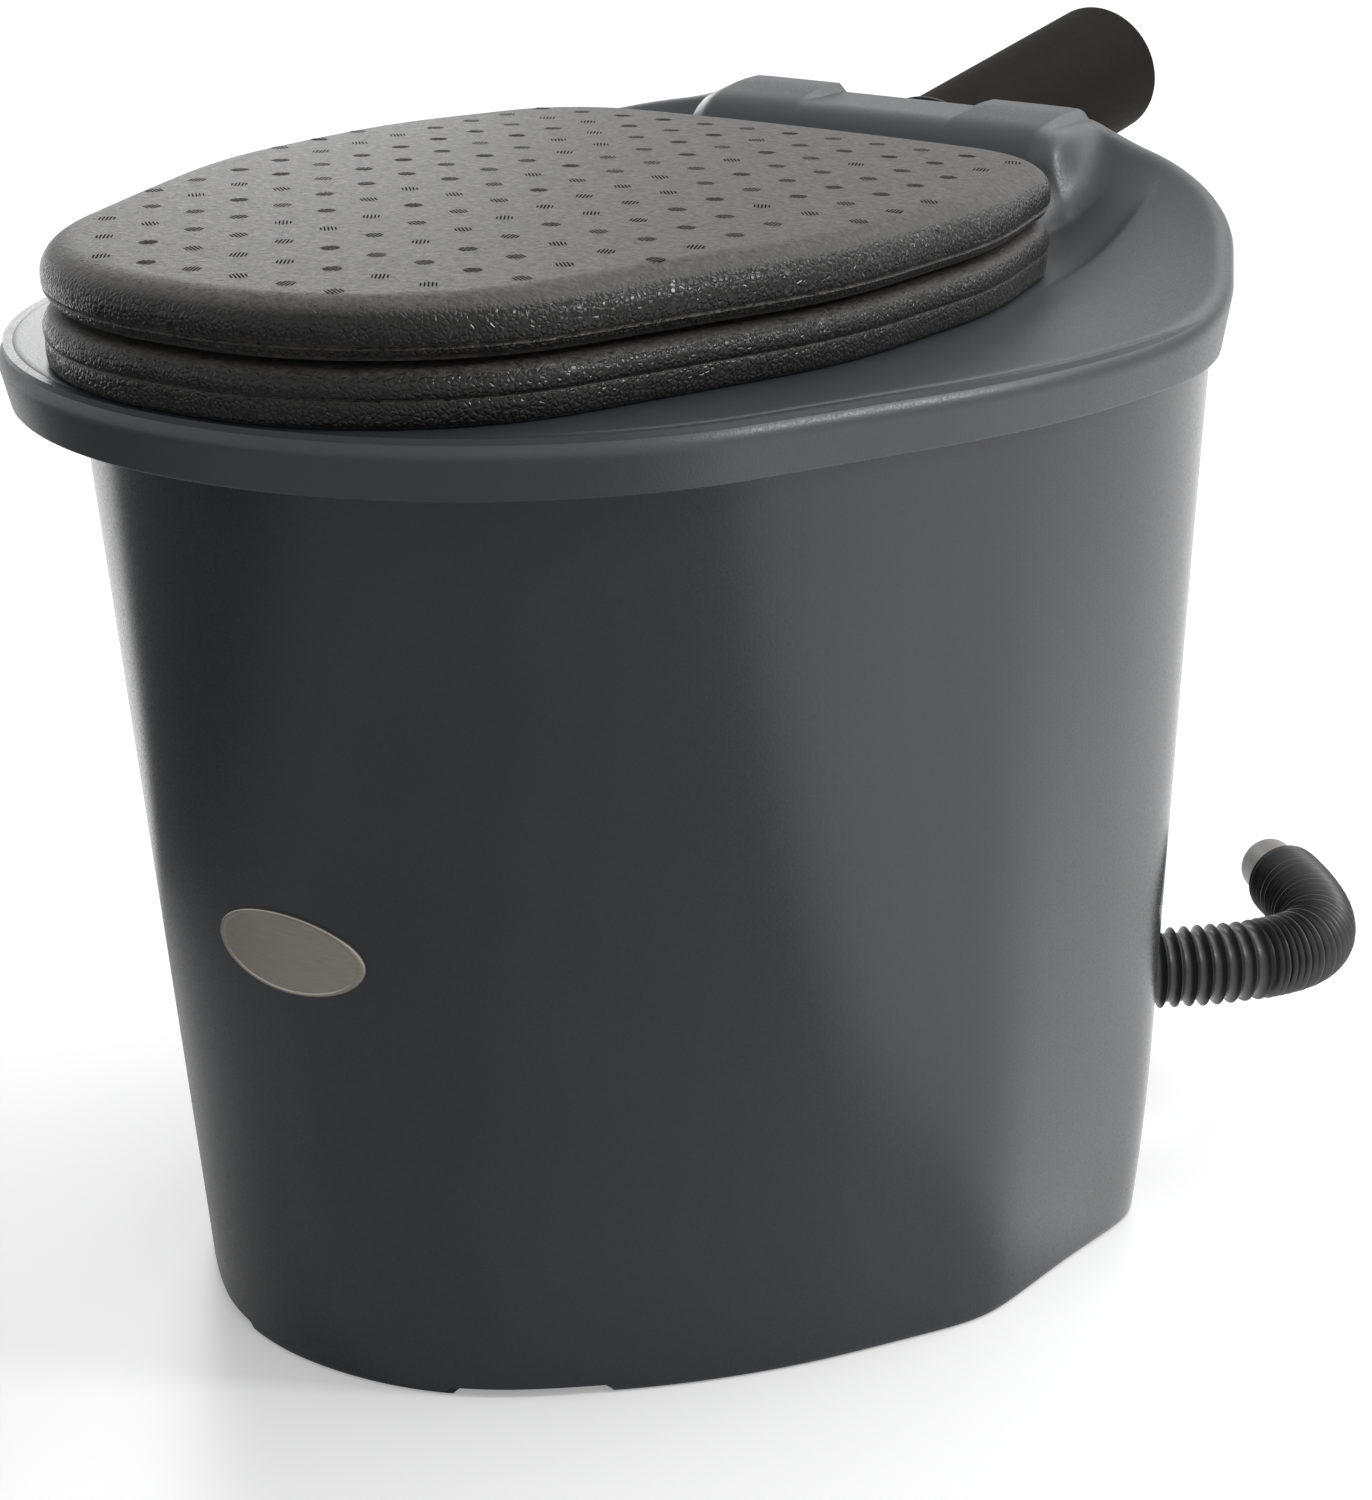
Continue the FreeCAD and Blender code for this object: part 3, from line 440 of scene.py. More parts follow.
# The form of both hoses: a round tube along a line, whose ribs stand wide apart where it is drawn out.
hose_form, hose_sockets = new_form("hose_form", "Route", [*smooth_sizes, *even_ribs],
                                   {"Finish": "Material"}, "Hose")
given = add(hose_form, "NodeGroupInput").outputs
even = add(hose_form, "GeometryNodeResampleCurve", {"Curve": given["Route"], "Length": given["Step"]},
           mode="LENGTH")
gone = add(hose_form, "GeometryNodeSplineParameter").outputs["Length"]
is_drawn = add(hose_form, "ShaderNodeMath", {0: gone, 1: given["Drawn length"]}, operation="LESS_THAN")
pitch = add(hose_form, "ShaderNodeMix",
            {"Factor": is_drawn, 2: given["Close pitch"], 3: given["Drawn pitch"]}, data_type="FLOAT")
past = add(hose_form, "ShaderNodeMath", {0: gone, 1: given["Drawn length"]}, operation="SUBTRACT")
turns = add(hose_form, "ShaderNodeMath", {0: past, 1: pitch}, operation="DIVIDE")
rib_height = add(hose_form, "ShaderNodeMath", {0: turns, 1: 0.5}, operation="PINGPONG")
rib_share = add(hose_form, "ShaderNodeMath", {0: rib_height, 1: 2.0}, operation="MULTIPLY")
sharpness = add(hose_form, "ShaderNodeMix",
                {"Factor": is_drawn, 2: given["Close sharpness"], 3: given["Drawn sharpness"]},
                data_type="FLOAT")
rib = add(hose_form, "ShaderNodeMath", {0: rib_share, 1: sharpness}, operation="POWER")
radius = add(hose_form, "ShaderNodeMapRange",
             {"Value": rib, "To Min": given["Root radius"], "To Max": given["Crest radius"]})
circle = add(hose_form, "GeometryNodeCurvePrimitiveCircle", {"Resolution": HOSE_SIDES, "Radius": 1.0})
tube = add(hose_form, "GeometryNodeCurveToMesh",
           {"Curve": even, "Profile Curve": circle, "Scale": radius, "Fill Caps": True})
whole = add(hose_form, "GeometryNodeRealizeInstances", {"Geometry": tube})
coated = add(hose_form, "GeometryNodeSetMaterial", {"Geometry": whole, "Material": given["Finish"]})
add(hose_form, "NodeGroupOutput", {"Hose": coated})


def hose_piece(name, route, finish, sizes, ribs):
    """A hose made by its form along its line, as a plain mesh."""
    shape_by(route, hose_form, hose_sockets, sizes, {**ribs, "Finish": finish})
    mesh = plain_mesh(route)
    bpy.data.objects.remove(route)
    build = bmesh.new()
    build.from_mesh(mesh)
    bpy.data.meshes.remove(mesh)
    bmesh.ops.remove_doubles(build, verts=build.verts, dist=weld * MM)
    bmesh.ops.recalc_face_normals(build, faces=build.faces)
    made = new_piece(name)
    build.to_mesh(made.data)
    build.free()
    smoothed(made.data, 60)
    return made


# Plasticised PVC: smoky grey, soft and shiny, a little milky where the wall is thick.
soft_pvc, tree, place = new_finish("smoky_soft_pvc", IOR=1.52)
milk = add(tree, "ShaderNodeTexNoise", {"Vector": place, "Scale": 1 / (18 * MM), "Detail": 2})
patterned(tree, tone=(milk, "#5f6061", "#6f7070"), gloss=(milk, 0.18, 0.34))
route = spline_along("inside_route", inner_hose_route)
inside_hose = hose_piece("inside_hose", route, soft_pvc, smooth_sizes, even_ribs)
settle(inside_hose, soft_pvc, "clear_grey_hose", "container", "inner_hose")

# Hose bands, strainer and hinge pins: small pieces of stainless steel, rolled or punched from strip or cut
# from rod. The bands are clamped on, the strainer lies in the drain, and the pins are pressed into the lid.
# Brushed stainless steel: neutral and bright, with fine lines from brushing that spread its shine.
brushed_steel, tree, place = new_finish("brushed_stainless_steel", Metallic=1.0)
stretched = add(tree, "ShaderNodeMapping", {"Vector": place, "Scale": (0.05, 1, 1)})
lines = add(tree, "ShaderNodeTexNoise", {"Vector": stretched, "Scale": 1 / (0.6 * MM), "Detail": 2})
patterned(tree, tone=(lines, "#b4b3b0", "#c6c5c2"), gloss=(lines, 0.22, 0.42))
dress(brushed_steel, "inner_hose_clamps", "drain_strainer", "lid_hinge_pins")

# Outlet fitting: a flanged pipe through the container's rear corner with a lock nut inside, moulded in black
# nylon. The seat's pegs and hinge brackets are made the same way.
# Moulded nylon: black and satin, with a faint flow grain.
black_nylon, tree, place = new_finish("moulded_black_nylon", IOR=1.53)
flow = add(tree, "ShaderNodeTexNoise", {"Vector": place, "Scale": 1 / (3 * MM), "Detail": 3})
patterned(tree, tone=(flow, "#1c1c1d", "#262627"), gloss=(flow, 0.35, 0.52))
dress(black_nylon, "outlet_fitting", "outlet_nut", "seat_pegs", "hinge_brackets")

# Seals: the outlet's washer and the basin's gasket are cut from black rubber sheet. Each is pinched by the
# nut of its fitting.
# Sheet rubber: black and matt, with the fine grain of the press and a little bloom.
sheet_rubber, tree, place = new_finish("pressed_sheet_rubber", IOR=1.52)
bloom = add(tree, "ShaderNodeTexNoise", {"Vector": place, "Scale": 1 / (5 * MM), "Detail": 5})
patterned(tree, tone=(bloom, "#191919", "#262626"), gloss=(bloom, 0.6, 0.8), relief=(bloom, 0.2, 0.15))
dress(sheet_rubber, "outlet_seal", "drain_gasket")

# Drain hose: a short ribbed hose, blown in black polyethylene, that is pushed on the outlet and turns round
# the rear corner. Its first ribs are drawn out and the others lie close.
drain_hose_route = [(197.7, 175.5, 110), (256.0, 225.8, 110), (257.5, 292.5, 110), (202.0, 344.0, 110)]
drawn_length = 70
drawn_ribs = 9
hose_sizes = {"Crest radius": 22, "Root radius": 18.5, "Drawn length": drawn_length,
              "Drawn pitch": drawn_length / drawn_ribs, "Close pitch": 3.7, "Step": 0.35}
hose_ribs = {"Drawn sharpness": 2.6, "Close sharpness": 0.5}

# Blown polyethylene: black, with a soft shine along the crests and a faint haze.
blown_polyethylene, tree, place = new_finish("blown_black_polyethylene", IOR=1.5)
haze = add(tree, "ShaderNodeTexNoise", {"Vector": place, "Scale": 1 / (4 * MM), "Detail": 4})
patterned(tree, tone=(haze, "#202020", "#2b2a2a"), gloss=(haze, 0.30, 0.48))
route = spline_along("drain_route", drain_hose_route)
path_mesh = plain_mesh(route)
bpy.data.meshes.remove(path_mesh)
ribbed_hose = hose_piece("ribbed_hose", route, blown_polyethylene, hose_sizes, hose_ribs)
settle(ribbed_hose, blown_polyethylene, "black_hose_plastic", "container", "drain_hose")

# Hose end: a smooth sleeve with a rounded mouth, moulded in warm grey PVC. It is pushed into the hose's free
# end and goes where the hose goes.
cuff_start = Vector(drain_hose_route[-1])
cuff_way = (cuff_start - Vector(drain_hose_route[-2])).normalized()
cuff_profile = [(-5, 12.5), (-5, 16), (26.5, 16), (28.3, 15.8), (29.5, 15.1), (30, 14.2), (29.6, 13.2),
                (28.8, 12.5)]
# Moulded PVC: warm grey and satin, lightly clouded by handling.
warm_pvc, tree, place = new_finish("moulded_warm_grey_pvc", IOR=1.53)
handled = add(tree, "ShaderNodeTexNoise", {"Vector": place, "Scale": 1 / (7 * MM), "Detail": 4})
patterned(tree, tone=(handled, "#6f6a66", "#847f7a"), gloss=(handled, 0.36, 0.55))
cuff = new_piece("hose_sleeve", turned(cuff_start, cuff_way, cuff_profile), closed=True)
smoothed(cuff.data)
settle(cuff, warm_pvc, "warm_grey_cuff", "container", "hose_end_cuff")

# Cover seal: a flat strip of foam rubber with its upper edges rounded. It is stuck on the container's lip all
# round, and the cover's ledge rests on it.
seal_edges = [(1.5, 484.05), (1.5, 490.6), (2.3, 491.4), (11.2, 491.4), (12, 490.6), (12, 484.05)]
# Foam rubber: black, quite matt, with small open pores.
foam_rubber, tree, place = new_finish("open_pore_foam_rubber", Roughness=0.9)
pores = add(tree, "ShaderNodeTexVoronoi", {"Vector": place, "Scale": 1 / (1.2 * MM)})
patterned(tree, tone=(pores, "#161616", "#2c2c2c"), relief=(pores, 0.5, 0.3))
seal = new_piece("seal_strip", [at_height(wall_lines(inset)[1], z) for inset, z in seal_edges], closed=True)
smoothed(seal.data)
settle(seal, foam_rubber, "seal_foam_rubber", "container", "cover_seal")

# Top cover: a vacuum-formed sheet with an overhanging rim, a dished deck that sweeps up behind the seat and a
# raised back with two low pads. It sits loose on the container and carries the bowl, the seat and the vent.
deck_height = 495
skirt_bottom = 466
skirt_draft = 4.6
skirt_foot = 1.5
rim_corners = [(157, -361), (276, -54), (281.5, 90), (190, 265)]
rim_radii = [226, 470, 200, 169]
cover_wall = 3.5
rim_edge = 10
least_deck = rim_edge + 4
deck_sweep = 756
dish_power = 2.2
pocket_gap = 3
seat_corners = [(117, -358.5), (192, -113), (192, 20), (157, 152)]
seat_radii = [145, 290, 290, 70]
opening_corners = [(70, -262), (122, -170), (122, 20), (76, 72)]
opening_radii = [60, 80, 80, 60]
recess_reach = 14.4
mouth_reach = 3.4
recess_depth = 3
seat_middle = Vector((0, -95))
back_half = 180
back_step = 2
hump_front = 188
hump_top = 550
hump_edge = 12
hump_roll = 20
hump_foot = 10
hump_lean = 8
hump_ridge = (116, 111)
hump_reach = (16, 46)
ridge_round = 4
cheek_fold = (100, 114)
cheek_forward = 8
cheek_lean = 14
pad_sides = (50, 103)
pad_rise = (200, 244)
pad_height = 4.5
pad_slope = 4
pad_fade = 8
vent_flat = (60, 110)
ledge_edges = [(42, 491.6), (2.5, 491.6), (2.5, 494.5), (42, 494.5)]
vent_tilt = math.radians(9.2)
vent_back = Vector((0, 265, 508))
vent_hole = 39.9
vent_cut = (25, 60)
peg_places = [(163, -60), (-163, -60), (126, 112), (-126, 112)]
peg_hole = 6.1
peg_cut = 30

# Rows of the cover's mesh. Those over the raised back add up to those of the plain deck and its rim.
side_columns = 104
pocket_fineness = 20
square_columns = (0.2, 1.0)
deck_rows = 42
rim_steps = 8
skirt_rows = 8
skirt_foot_steps = 3
hump_deck_rows = 12
hump_foot_steps = 6
hump_face_rows = 4
hump_top_rows = 12


def half_line(ring, back_x):
    """The right half of an outline, from the front's middle to the back at a given x."""
    line = from_front(ring)
    for i in range(1, len(line) - 1):
        here, there = line[i], line[i + 1]
        if here.y > 0 and there.x < back_x <= here.x:
            return line[:i + 1] + [here.lerp(there, (here.x - back_x) / (here.x - there.x))]


def towards(ring, targets):
    """Where lines from the seat's middle towards the targets cross an outline."""
    points = []
    for target in targets:
        way = target - seat_middle
        for p, q in zip(ring, ring[1:] + ring[:1]):
            edge = q - p
            cross = way.x * edge.y - way.y * edge.x
            if abs(cross) < 1e-9:
                continue
            gap = p - seat_middle
            reach = (gap.x * edge.y - gap.y * edge.x) / cross
            share = (gap.x * way.y - gap.y * way.x) / cross
            if reach > 0 and -1e-6 <= share <= 1 + 1e-6:
                points.append(seat_middle + way * reach)
                break
    return points


# The sheet is built in columns from the seat's pocket to the rim, square to the rim in front and evenly
# spaced towards the back.
pocket = outline(seat_corners, seat_radii, -pocket_gap)
rim = outline(rim_corners, rim_radii)
right_outer = spread(half_line(rim, back_half), side_columns)
pocket_steps = pocket_fineness * side_columns
pocket_line = spread(half_line(pocket, back_half), pocket_steps)
right_inner = []
for k, p in enumerate(right_outer):
    square = min(range(pocket_steps), key=lambda i: (pocket_line[i] - p).length_squared)
    even = pocket_steps * k / side_columns
    share = smooth_step(*square_columns, k / side_columns)
    right_inner.append(pocket_line[round(square + (even - square) * share)])
back_xs = [back_half - back_step * k for k in range(2 * back_half // back_step + 1)]
inner = right_inner + [half_line(pocket, x)[-1] for x in back_xs]
outer = right_outer + [half_line(rim, x)[-1] for x in back_xs]
inner += [Vector((-p.x, p.y)) for p in reversed(right_inner[1:])]
outer += [Vector((-p.x, p.y)) for p in reversed(right_outer[1:])]
column_count = len(outer)
steps = [(outer[(k + 1) % column_count] - outer[k - 1]).normalized() for k in range(column_count)]
outwards = [Vector((step.y, -step.x)) for step in steps]
for k in range(column_count):
    short = least_deck - (outer[k] - inner[k]).dot(outwards[k])
    inner[k] -= outwards[k] * max(0.0, short)


def skirt_column(end, out, top, draft):
    """The skirt below the rim's edge, which draws in downwards, with a small rounded foot."""
    low = skirt_bottom + skirt_foot
    inset = [(draft * row / skirt_rows, top + (low - top) * row / skirt_rows)
             for row in range(1, skirt_rows + 1)]
    inset += [(draft + skirt_foot * (1 - c), low - skirt_foot * s) for s, c in quarter(skirt_foot_steps)[1:]]
    return [Vector((end.x - out.x * by, end.y - out.y * by, z)) for by, z in inset]


def deck_column(k):
    """Deck, rounded rim and skirt along one line from the seat outwards, without the raised back."""
    start, end, out = inner[k], outer[k], outwards[k]
    rise = deck_sweep - math.sqrt(deck_sweep ** 2 - max(0.0, end.y) ** 2)
    middle = end - out * rim_edge
    slope = math.atan(dish_power * rise / (middle - start).length)
    edge = middle - out * rim_edge * math.sin(slope)
    edge_height = deck_height + rise - rim_edge * (1 - math.cos(slope))
    points = []
    for row in range(deck_rows):
        share = row / deck_rows
        place = start.lerp(edge, share)
        z = deck_height + (edge_height - deck_height) * share ** dish_power
        points.append(Vector((place.x, place.y, z)))
    for row in range(rim_steps + 1):
        turn = -slope + (math.pi / 2 + slope) * row / rim_steps
        place = middle + out * rim_edge * math.sin(turn)
        z = deck_height + rise - rim_edge * (1 - math.cos(turn))
        points.append(Vector((place.x, place.y, z)))
    return points + skirt_column(end, out, deck_height + rise - rim_edge, skirt_draft)


def hump_column(k, plain):
    """The same line where it climbs over the raised back. Its rows match those of the plain deck."""
    x, start, end = inner[k].x, inner[k].y, outer[k].y
    cheek = smooth_step(*cheek_fold, abs(x))
    front = hump_front - cheek_forward * cheek
    lean = hump_lean + cheek_lean * cheek
    foot = front - hump_foot
    span = plain[deck_rows].y - start
    rise = plain[deck_rows].z - deck_height

    def deck(y):
        return deck_height + rise * max(0.0, (y - start) / span) ** dish_power

    base = deck(foot)
    points = []
    for row in range(hump_deck_rows):
        y = start + (foot - start) * row / hump_deck_rows
        points.append((y, deck(y)))
    points += [(foot + hump_foot * s, base + hump_foot * (1 - c)) for s, c in quarter(hump_foot_steps)]
    low, high = base + hump_foot, hump_top - hump_roll
    points += [(front + lean * row / hump_face_rows, low + (high - low) * row / hump_face_rows)
               for row in range(1, hump_face_rows)]
    near = front + lean + hump_roll
    points += [(near - hump_roll * c, high + hump_roll * s) for s, c in quarter(rim_steps)]
    far = end - hump_edge
    points += [(near + (far - near) * row / hump_top_rows, hump_top) for row in range(1, hump_top_rows)]
    points += [(far + hump_edge * s, hump_top - hump_edge * (1 - c)) for s, c in quarter(rim_steps)]
    side = smooth_step(pad_sides[0] - pad_slope, pad_sides[0], abs(x))
    side *= 1 - smooth_step(pad_sides[1], pad_sides[1] + pad_slope, abs(x))
    climbed = []
    for y, z in points:
        lift = side * smooth_step(*pad_rise, y) * smooth_step(hump_top - pad_fade, hump_top, z)
        climbed.append(Vector((x, y, z + pad_height * lift)))
    draft = skirt_draft * smooth_step(*vent_flat, abs(x))
    return climbed + skirt_column(outer[k], Vector((0, 1)), hump_top - hump_edge, draft)


def hump_share(x, y):
    """How much of the raised back is left at a place: all of it up to a ridge, then less in a hollow."""
    depth = min(1.0, max(0.0, (y - hump_front) / (rim_corners[-1][1] - hump_front)))
    ridge = hump_ridge[0] + (hump_ridge[1] - hump_ridge[0]) * depth
    reach = hump_reach[0] + (hump_reach[1] - hump_reach[0]) * depth
    past = abs(x) - ridge
    past = (past + math.sqrt(past ** 2 + ridge_round ** 2)) / 2
    return max(0.0, 1 - past / reach) ** dish_power


def baked(made):
    """Replaces a piece's mesh by what its modifiers make of it."""
    mesh = plain_mesh(made)
    mesh.name = made.name
    made.modifiers.clear()
    made.data = mesh


def cut_away(made, shells):
    """Cuts closed shells out of a piece."""
    cutter = new_piece("cutter")
    for rings in shells:
        add_shell(cutter, rings)
    saw = made.modifiers.new("cut", "BOOLEAN")
    saw.object = cutter
    saw.operation = "DIFFERENCE"
    saw.solver = "MANIFOLD"
    baked(made)
    bpy.data.objects.remove(cutter)


def plug(start, along, length, radius):
    """A plain closed cylinder."""
    return turned(start, along, [(0, 0), (0, radius), (length, radius), (length, 0)], 64)


columns = []
for k in range(column_count):
    column = deck_column(k)
    if abs(outer[k].x) <= back_half and outer[k].y > 0 and inner[k].y > 0:
        high = hump_column(k, column)
        column = [p.lerp(q, hump_share(q.x, q.y)) for p, q in zip(column, high)]
    columns.append(column)
rows = [[column[i] for column in columns] for i in range(len(columns[0]))]
recess = towards(outline(opening_corners, opening_radii, -recess_reach), inner)
mouth = towards(outline(opening_corners, opening_radii, -mouth_reach), inner)
rings = list(reversed(rows)) + [at_height(recess, deck_height), at_height(recess, deck_height - recess_depth),
                                at_height(mouth, deck_height - recess_depth)]
cover = new_piece("cover_sheet", rings)
thick = cover.modifiers.new("wall", "SOLIDIFY")
thick.thickness = cover_wall * MM
thick.offset = -1
baked(cover)

# A level ledge inside the rim rests on the foam strip. The vent's hole and the four peg holes are cut last.
ledge = [at_height(outline(rim_corners, rim_radii, inset), z) for inset, z in ledge_edges]
add_shell(cover, ledge, closed=True)
holes = [plug(vent_back - Vector((0, vent_cut[0], 0)), (0, 1, 0), vent_cut[1], vent_hole)]
holes += [plug((x, y, deck_height - peg_cut / 2), (0, 0, 1), peg_cut, peg_hole) for x, y in peg_places]
cut_away(cover, holes)
smoothed(cover.data, 40)

# Vacuum-formed ABS: slate grey and half matt, a little cloudy, with the leather-fine grain of the sheet.
formed_abs, tree, place = new_finish("vacuum_formed_abs", IOR=1.53)
cloud = add(tree, "ShaderNodeTexNoise", {"Vector": place, "Scale": 1 / (90 * MM), "Detail": 2})
grain = add(tree, "ShaderNodeTexNoise",
            {"Vector": place, "Scale": 1 / (1.1 * MM), "Detail": 2, "Roughness": 0.6})
patterned(tree, tone=(cloud, "#272a2e", "#303338"), gloss=(grain, 0.32, 0.48),
          relief=(grain, 0.40, 0.25), between=(0.3, 0.7))
settle(cover, formed_abs, "charcoal_cover_plastic", "cover", "top_cover")

# Vent grommet: a ring with a groove and a rounded outer lip, moulded in the same black rubber as the seals.
# It is snapped into the hole in the cover's back.
grommet_profile = [(-4.5, 37.7), (-4.5, 39.3), (0, 39.3), (0, 41.2), (0.5, 41.6), (2.4, 41.6), (2.9, 41.1),
                   (3, 40.2), (3, 37.7)]
grommet = new_piece("vent_ring", turned(vent_back, (0, 1, 0), grommet_profile), closed=True)
smoothed(grommet.data)
settle(grommet, sheet_rubber, "black_rubber", "cover", "vent_grommet")

# Vent pipe: a length of black drain pipe, pushed through the grommet and held by it. Its outer end is cut
# square and lightly broken at the edges.
vent_end = 187.4
vent_shoulder = 12
pipe_profile = [(-29, 33), (-29, 35.5), (-28.5, 36), (0, 36), (0, 37.5), (vent_end - 0.8, 37.5),
                (vent_end, 36.7), (vent_end, 35.1), (vent_end - 0.6, 34.5), (0, 34.5)]
# Extruded polypropylene pipe: warm black, nearly matt, with faint draw marks along it and a little dust.
pipe_plastic, tree, place = new_finish("extruded_black_polypropylene", IOR=1.49, Specular_IOR_Level=0.02)
drawn = add(tree, "ShaderNodeMapping", {"Vector": place, "Scale": (1, 0.03, 1)})
marks = add(tree, "ShaderNodeTexNoise", {"Vector": drawn, "Scale": 1 / (1.8 * MM), "Detail": 3})
dust = add(tree, "ShaderNodeTexNoise", {"Vector": place, "Scale": 1 / (2.2 * MM), "Detail": 4})
patterned(tree, tone=(dust, "#1e1b1a", "#272321"), gloss=(marks, 0.5, 0.68), relief=(marks, 0.12, 0.1))
vent_way = Vector((0, math.cos(vent_tilt), math.sin(vent_tilt)))
pipe_shoulder = vent_back + vent_way * (vent_shoulder / math.cos(vent_tilt))
pipe = new_piece("vent_tube", turned(pipe_shoulder, vent_way, pipe_profile, 128), closed=True)
smoothed(pipe.data)
settle(pipe, pipe_plastic, "black_pipe_plastic", "cover", "vent_pipe")

# Separator bowl and drop sleeve: thin formed shells, the basin in front for urine and the open sleeve behind
# for solids. The bowl hangs in the cover's recess by its flange, and the sleeve hangs in the bowl.
# Gloss-formed plastic: smooth dark grey with a clear shine, so that it rinses clean, and faint water marks.
bowl_plastic, tree, place = new_finish("gloss_formed_plastic", IOR=1.53)
water = add(tree, "ShaderNodeTexNoise",
            {"Vector": place, "Scale": 1 / (25 * MM), "Detail": 5, "Distortion": 0.8})
patterned(tree, tone=(water, "#3d3f42", "#46484b"), gloss=(water, 0.14, 0.3), between=(0.35, 0.7))
dress(bowl_plastic, "separator_bowl", "drop_sleeve")

# Seat ring: moulded from fused beads of expanded polypropylene, with the mould's parting line round its side.
# It lies loose in the cover's pocket on four pegs.
ring_top = 521
ring_bottom = 495.2
ring_round = 9
ring_steps = 8
ring_profile = [(4.2, 495.2), (2.6, 495.9), (1.6, 497.2), (1.2, 499.0), (0.9, 503.0), (0.8, 506.8),
                (1.2, 507.6), (1.9, 508.0), (1.4, 508.4), (0.5, 509.0), (0.1, 510.2)]
opening_draft = (5, 8)
opening_foot = 499
hinge_sides = (75, -75)
bracket_half = 14.1
bracket_seat = (128.9, 146.1, 515.9, 523)
peg_depth = 13.2
overcut = 1


def seat_line(inset, z):
    """The seat's outline at a height."""
    return at_height(outline(seat_corners, seat_radii, inset), z)


def opening_line(inset, z):
    """The outline of the seat's opening at a height."""
    return at_height(outline(opening_corners, opening_radii, inset), z)


def brick(x0, x1, y0, y1, z0, z1):
    """A closed block as two rings and two ends."""
    corners = ((x0, y0), (x1, y0), (x1, y1), (x0, y1))
    low, high = [[Vector((x, y, z)) for x, y in corners] for z in (z0, z1)]
    low_end, high_end = [[Vector(((x0 + x1) / 2, (y0 + y1) / 2, z))] for z in (z0, z1)]
    return [low_end, low, high, high_end]


rings = [opening_line(opening_draft[0], ring_bottom)]
rings += [seat_line(inset, z) for inset, z in ring_profile]
rings += [seat_line(ring_round * (1 - c), ring_top - ring_round * (1 - s)) for s, c in quarter(ring_steps)]
rings += [opening_line(opening_draft[1] - ring_round * (1 - s), ring_top - ring_round * (1 - c))
          for s, c in quarter(ring_steps)]
rings.append(opening_line(opening_draft[1], opening_foot))
seat = new_piece("seat_foam_ring", rings, closed=True)
cut_away(seat, [brick(x - bracket_half, x + bracket_half, *bracket_seat) for x in hinge_sides]
         + [plug((x, y, deck_height - overcut), (0, 0, 1), peg_depth, peg_hole) for x, y in peg_places])
smoothed(seat.data, 40)

# Fused bead foam: dark grey beads of about 3 mm. On the sides the mould presses them flat and shiny, with
# fine seams between them. Faces that look up or down are skinned over, with a fine grain and small pits.
bead_size = 2.8
pit_spacing = 7.0
skin_grain = 3.8
bead_foam, tree, place = new_finish("fused_bead_foam", IOR=1.49)
beads = add(tree, "ShaderNodeTexVoronoi", {"Vector": place, "Scale": 1 / (bead_size * MM)})
seams = add(tree, "ShaderNodeTexVoronoi", {"Vector": place, "Scale": 1 / (bead_size * MM)},
            feature="DISTANCE_TO_EDGE")
pits = add(tree, "ShaderNodeTexVoronoi", {"Vector": place, "Scale": 1 / (pit_spacing * MM)})
skin = add(tree, "ShaderNodeTexNoise",
           {"Vector": place, "Scale": 1 / (skin_grain * MM), "Detail": 5, "Roughness": 0.8})
own = add(tree, "ShaderNodeSeparateColor", {"Color": beads.outputs["Color"]}).outputs
facing = add(tree, "ShaderNodeSeparateXYZ", {0: tree.nodes["Texture Coordinate"].outputs["Normal"]})
upright = add(tree, "ShaderNodeMath", {0: facing.outputs["Z"]}, operation="ABSOLUTE")
skinned = add(tree, "ShaderNodeMapRange", {"Value": upright, "From Min": 0.60, "From Max": 0.90})
flat = add(tree, "ShaderNodeMapRange", {"Value": seams, "From Max": 0.3}, interpolation_type="SMOOTHSTEP")
pit = add(tree, "ShaderNodeMapRange", {"Value": pits, "From Min": 0.13, "From Max": 0.20})
bead_tone = add(tree, "ShaderNodeMix", {"Factor": own[0], 6: linear("#151413"), 7: linear("#201e1d")},
                data_type="RGBA")
seamed = add(tree, "ShaderNodeMix", {"Factor": flat, 6: linear("#11100f"), 7: bead_tone}, data_type="RGBA")
grain = add(tree, "ShaderNodeMapRange", {"Value": skin, "From Min": 0.40, "From Max": 0.60})
skin_tone = add(tree, "ShaderNodeMix", {"Factor": grain, 6: linear("#1c1b1a"), 7: linear("#4a4644")},
                data_type="RGBA")
pitted = add(tree, "ShaderNodeMix", {"Factor": pit, 6: linear("#151413"), 7: skin_tone}, data_type="RGBA")
tone = add(tree, "ShaderNodeMix", {"Factor": skinned, 6: seamed, 7: pitted}, data_type="RGBA")
bead_gloss = add(tree, "ShaderNodeMapRange", {"Value": own[1], "To Min": 0.14, "To Max": 0.30})
gloss = add(tree, "ShaderNodeMix", {"Factor": skinned, 2: bead_gloss, 3: 0.52}, data_type="FLOAT")
shine = add(tree, "ShaderNodeMapRange", {"Value": skinned, "To Min": 0.26, "To Max": 0.5})
tilted = add(tree, "ShaderNodeMath", {0: own[2], 1: 0.35, 2: flat}, operation="MULTIPLY_ADD")
rough_skin = add(tree, "ShaderNodeMath", {0: grain, 1: pit}, operation="ADD")
height = add(tree, "ShaderNodeMix", {"Factor": skinned, 2: tilted, 3: rough_skin}, data_type="FLOAT")
relief = add(tree, "ShaderNodeBump", {"Height": height, "Strength": 0.75, "Distance": 0.4 * MM})
feed(tree, tree.nodes["Principled BSDF"],
     {"Base Color": tone, "Roughness": gloss, "Specular IOR Level": shine, "Normal": relief})
settle(seat, bead_foam, "bead_foam", "seat", "seat_ring")

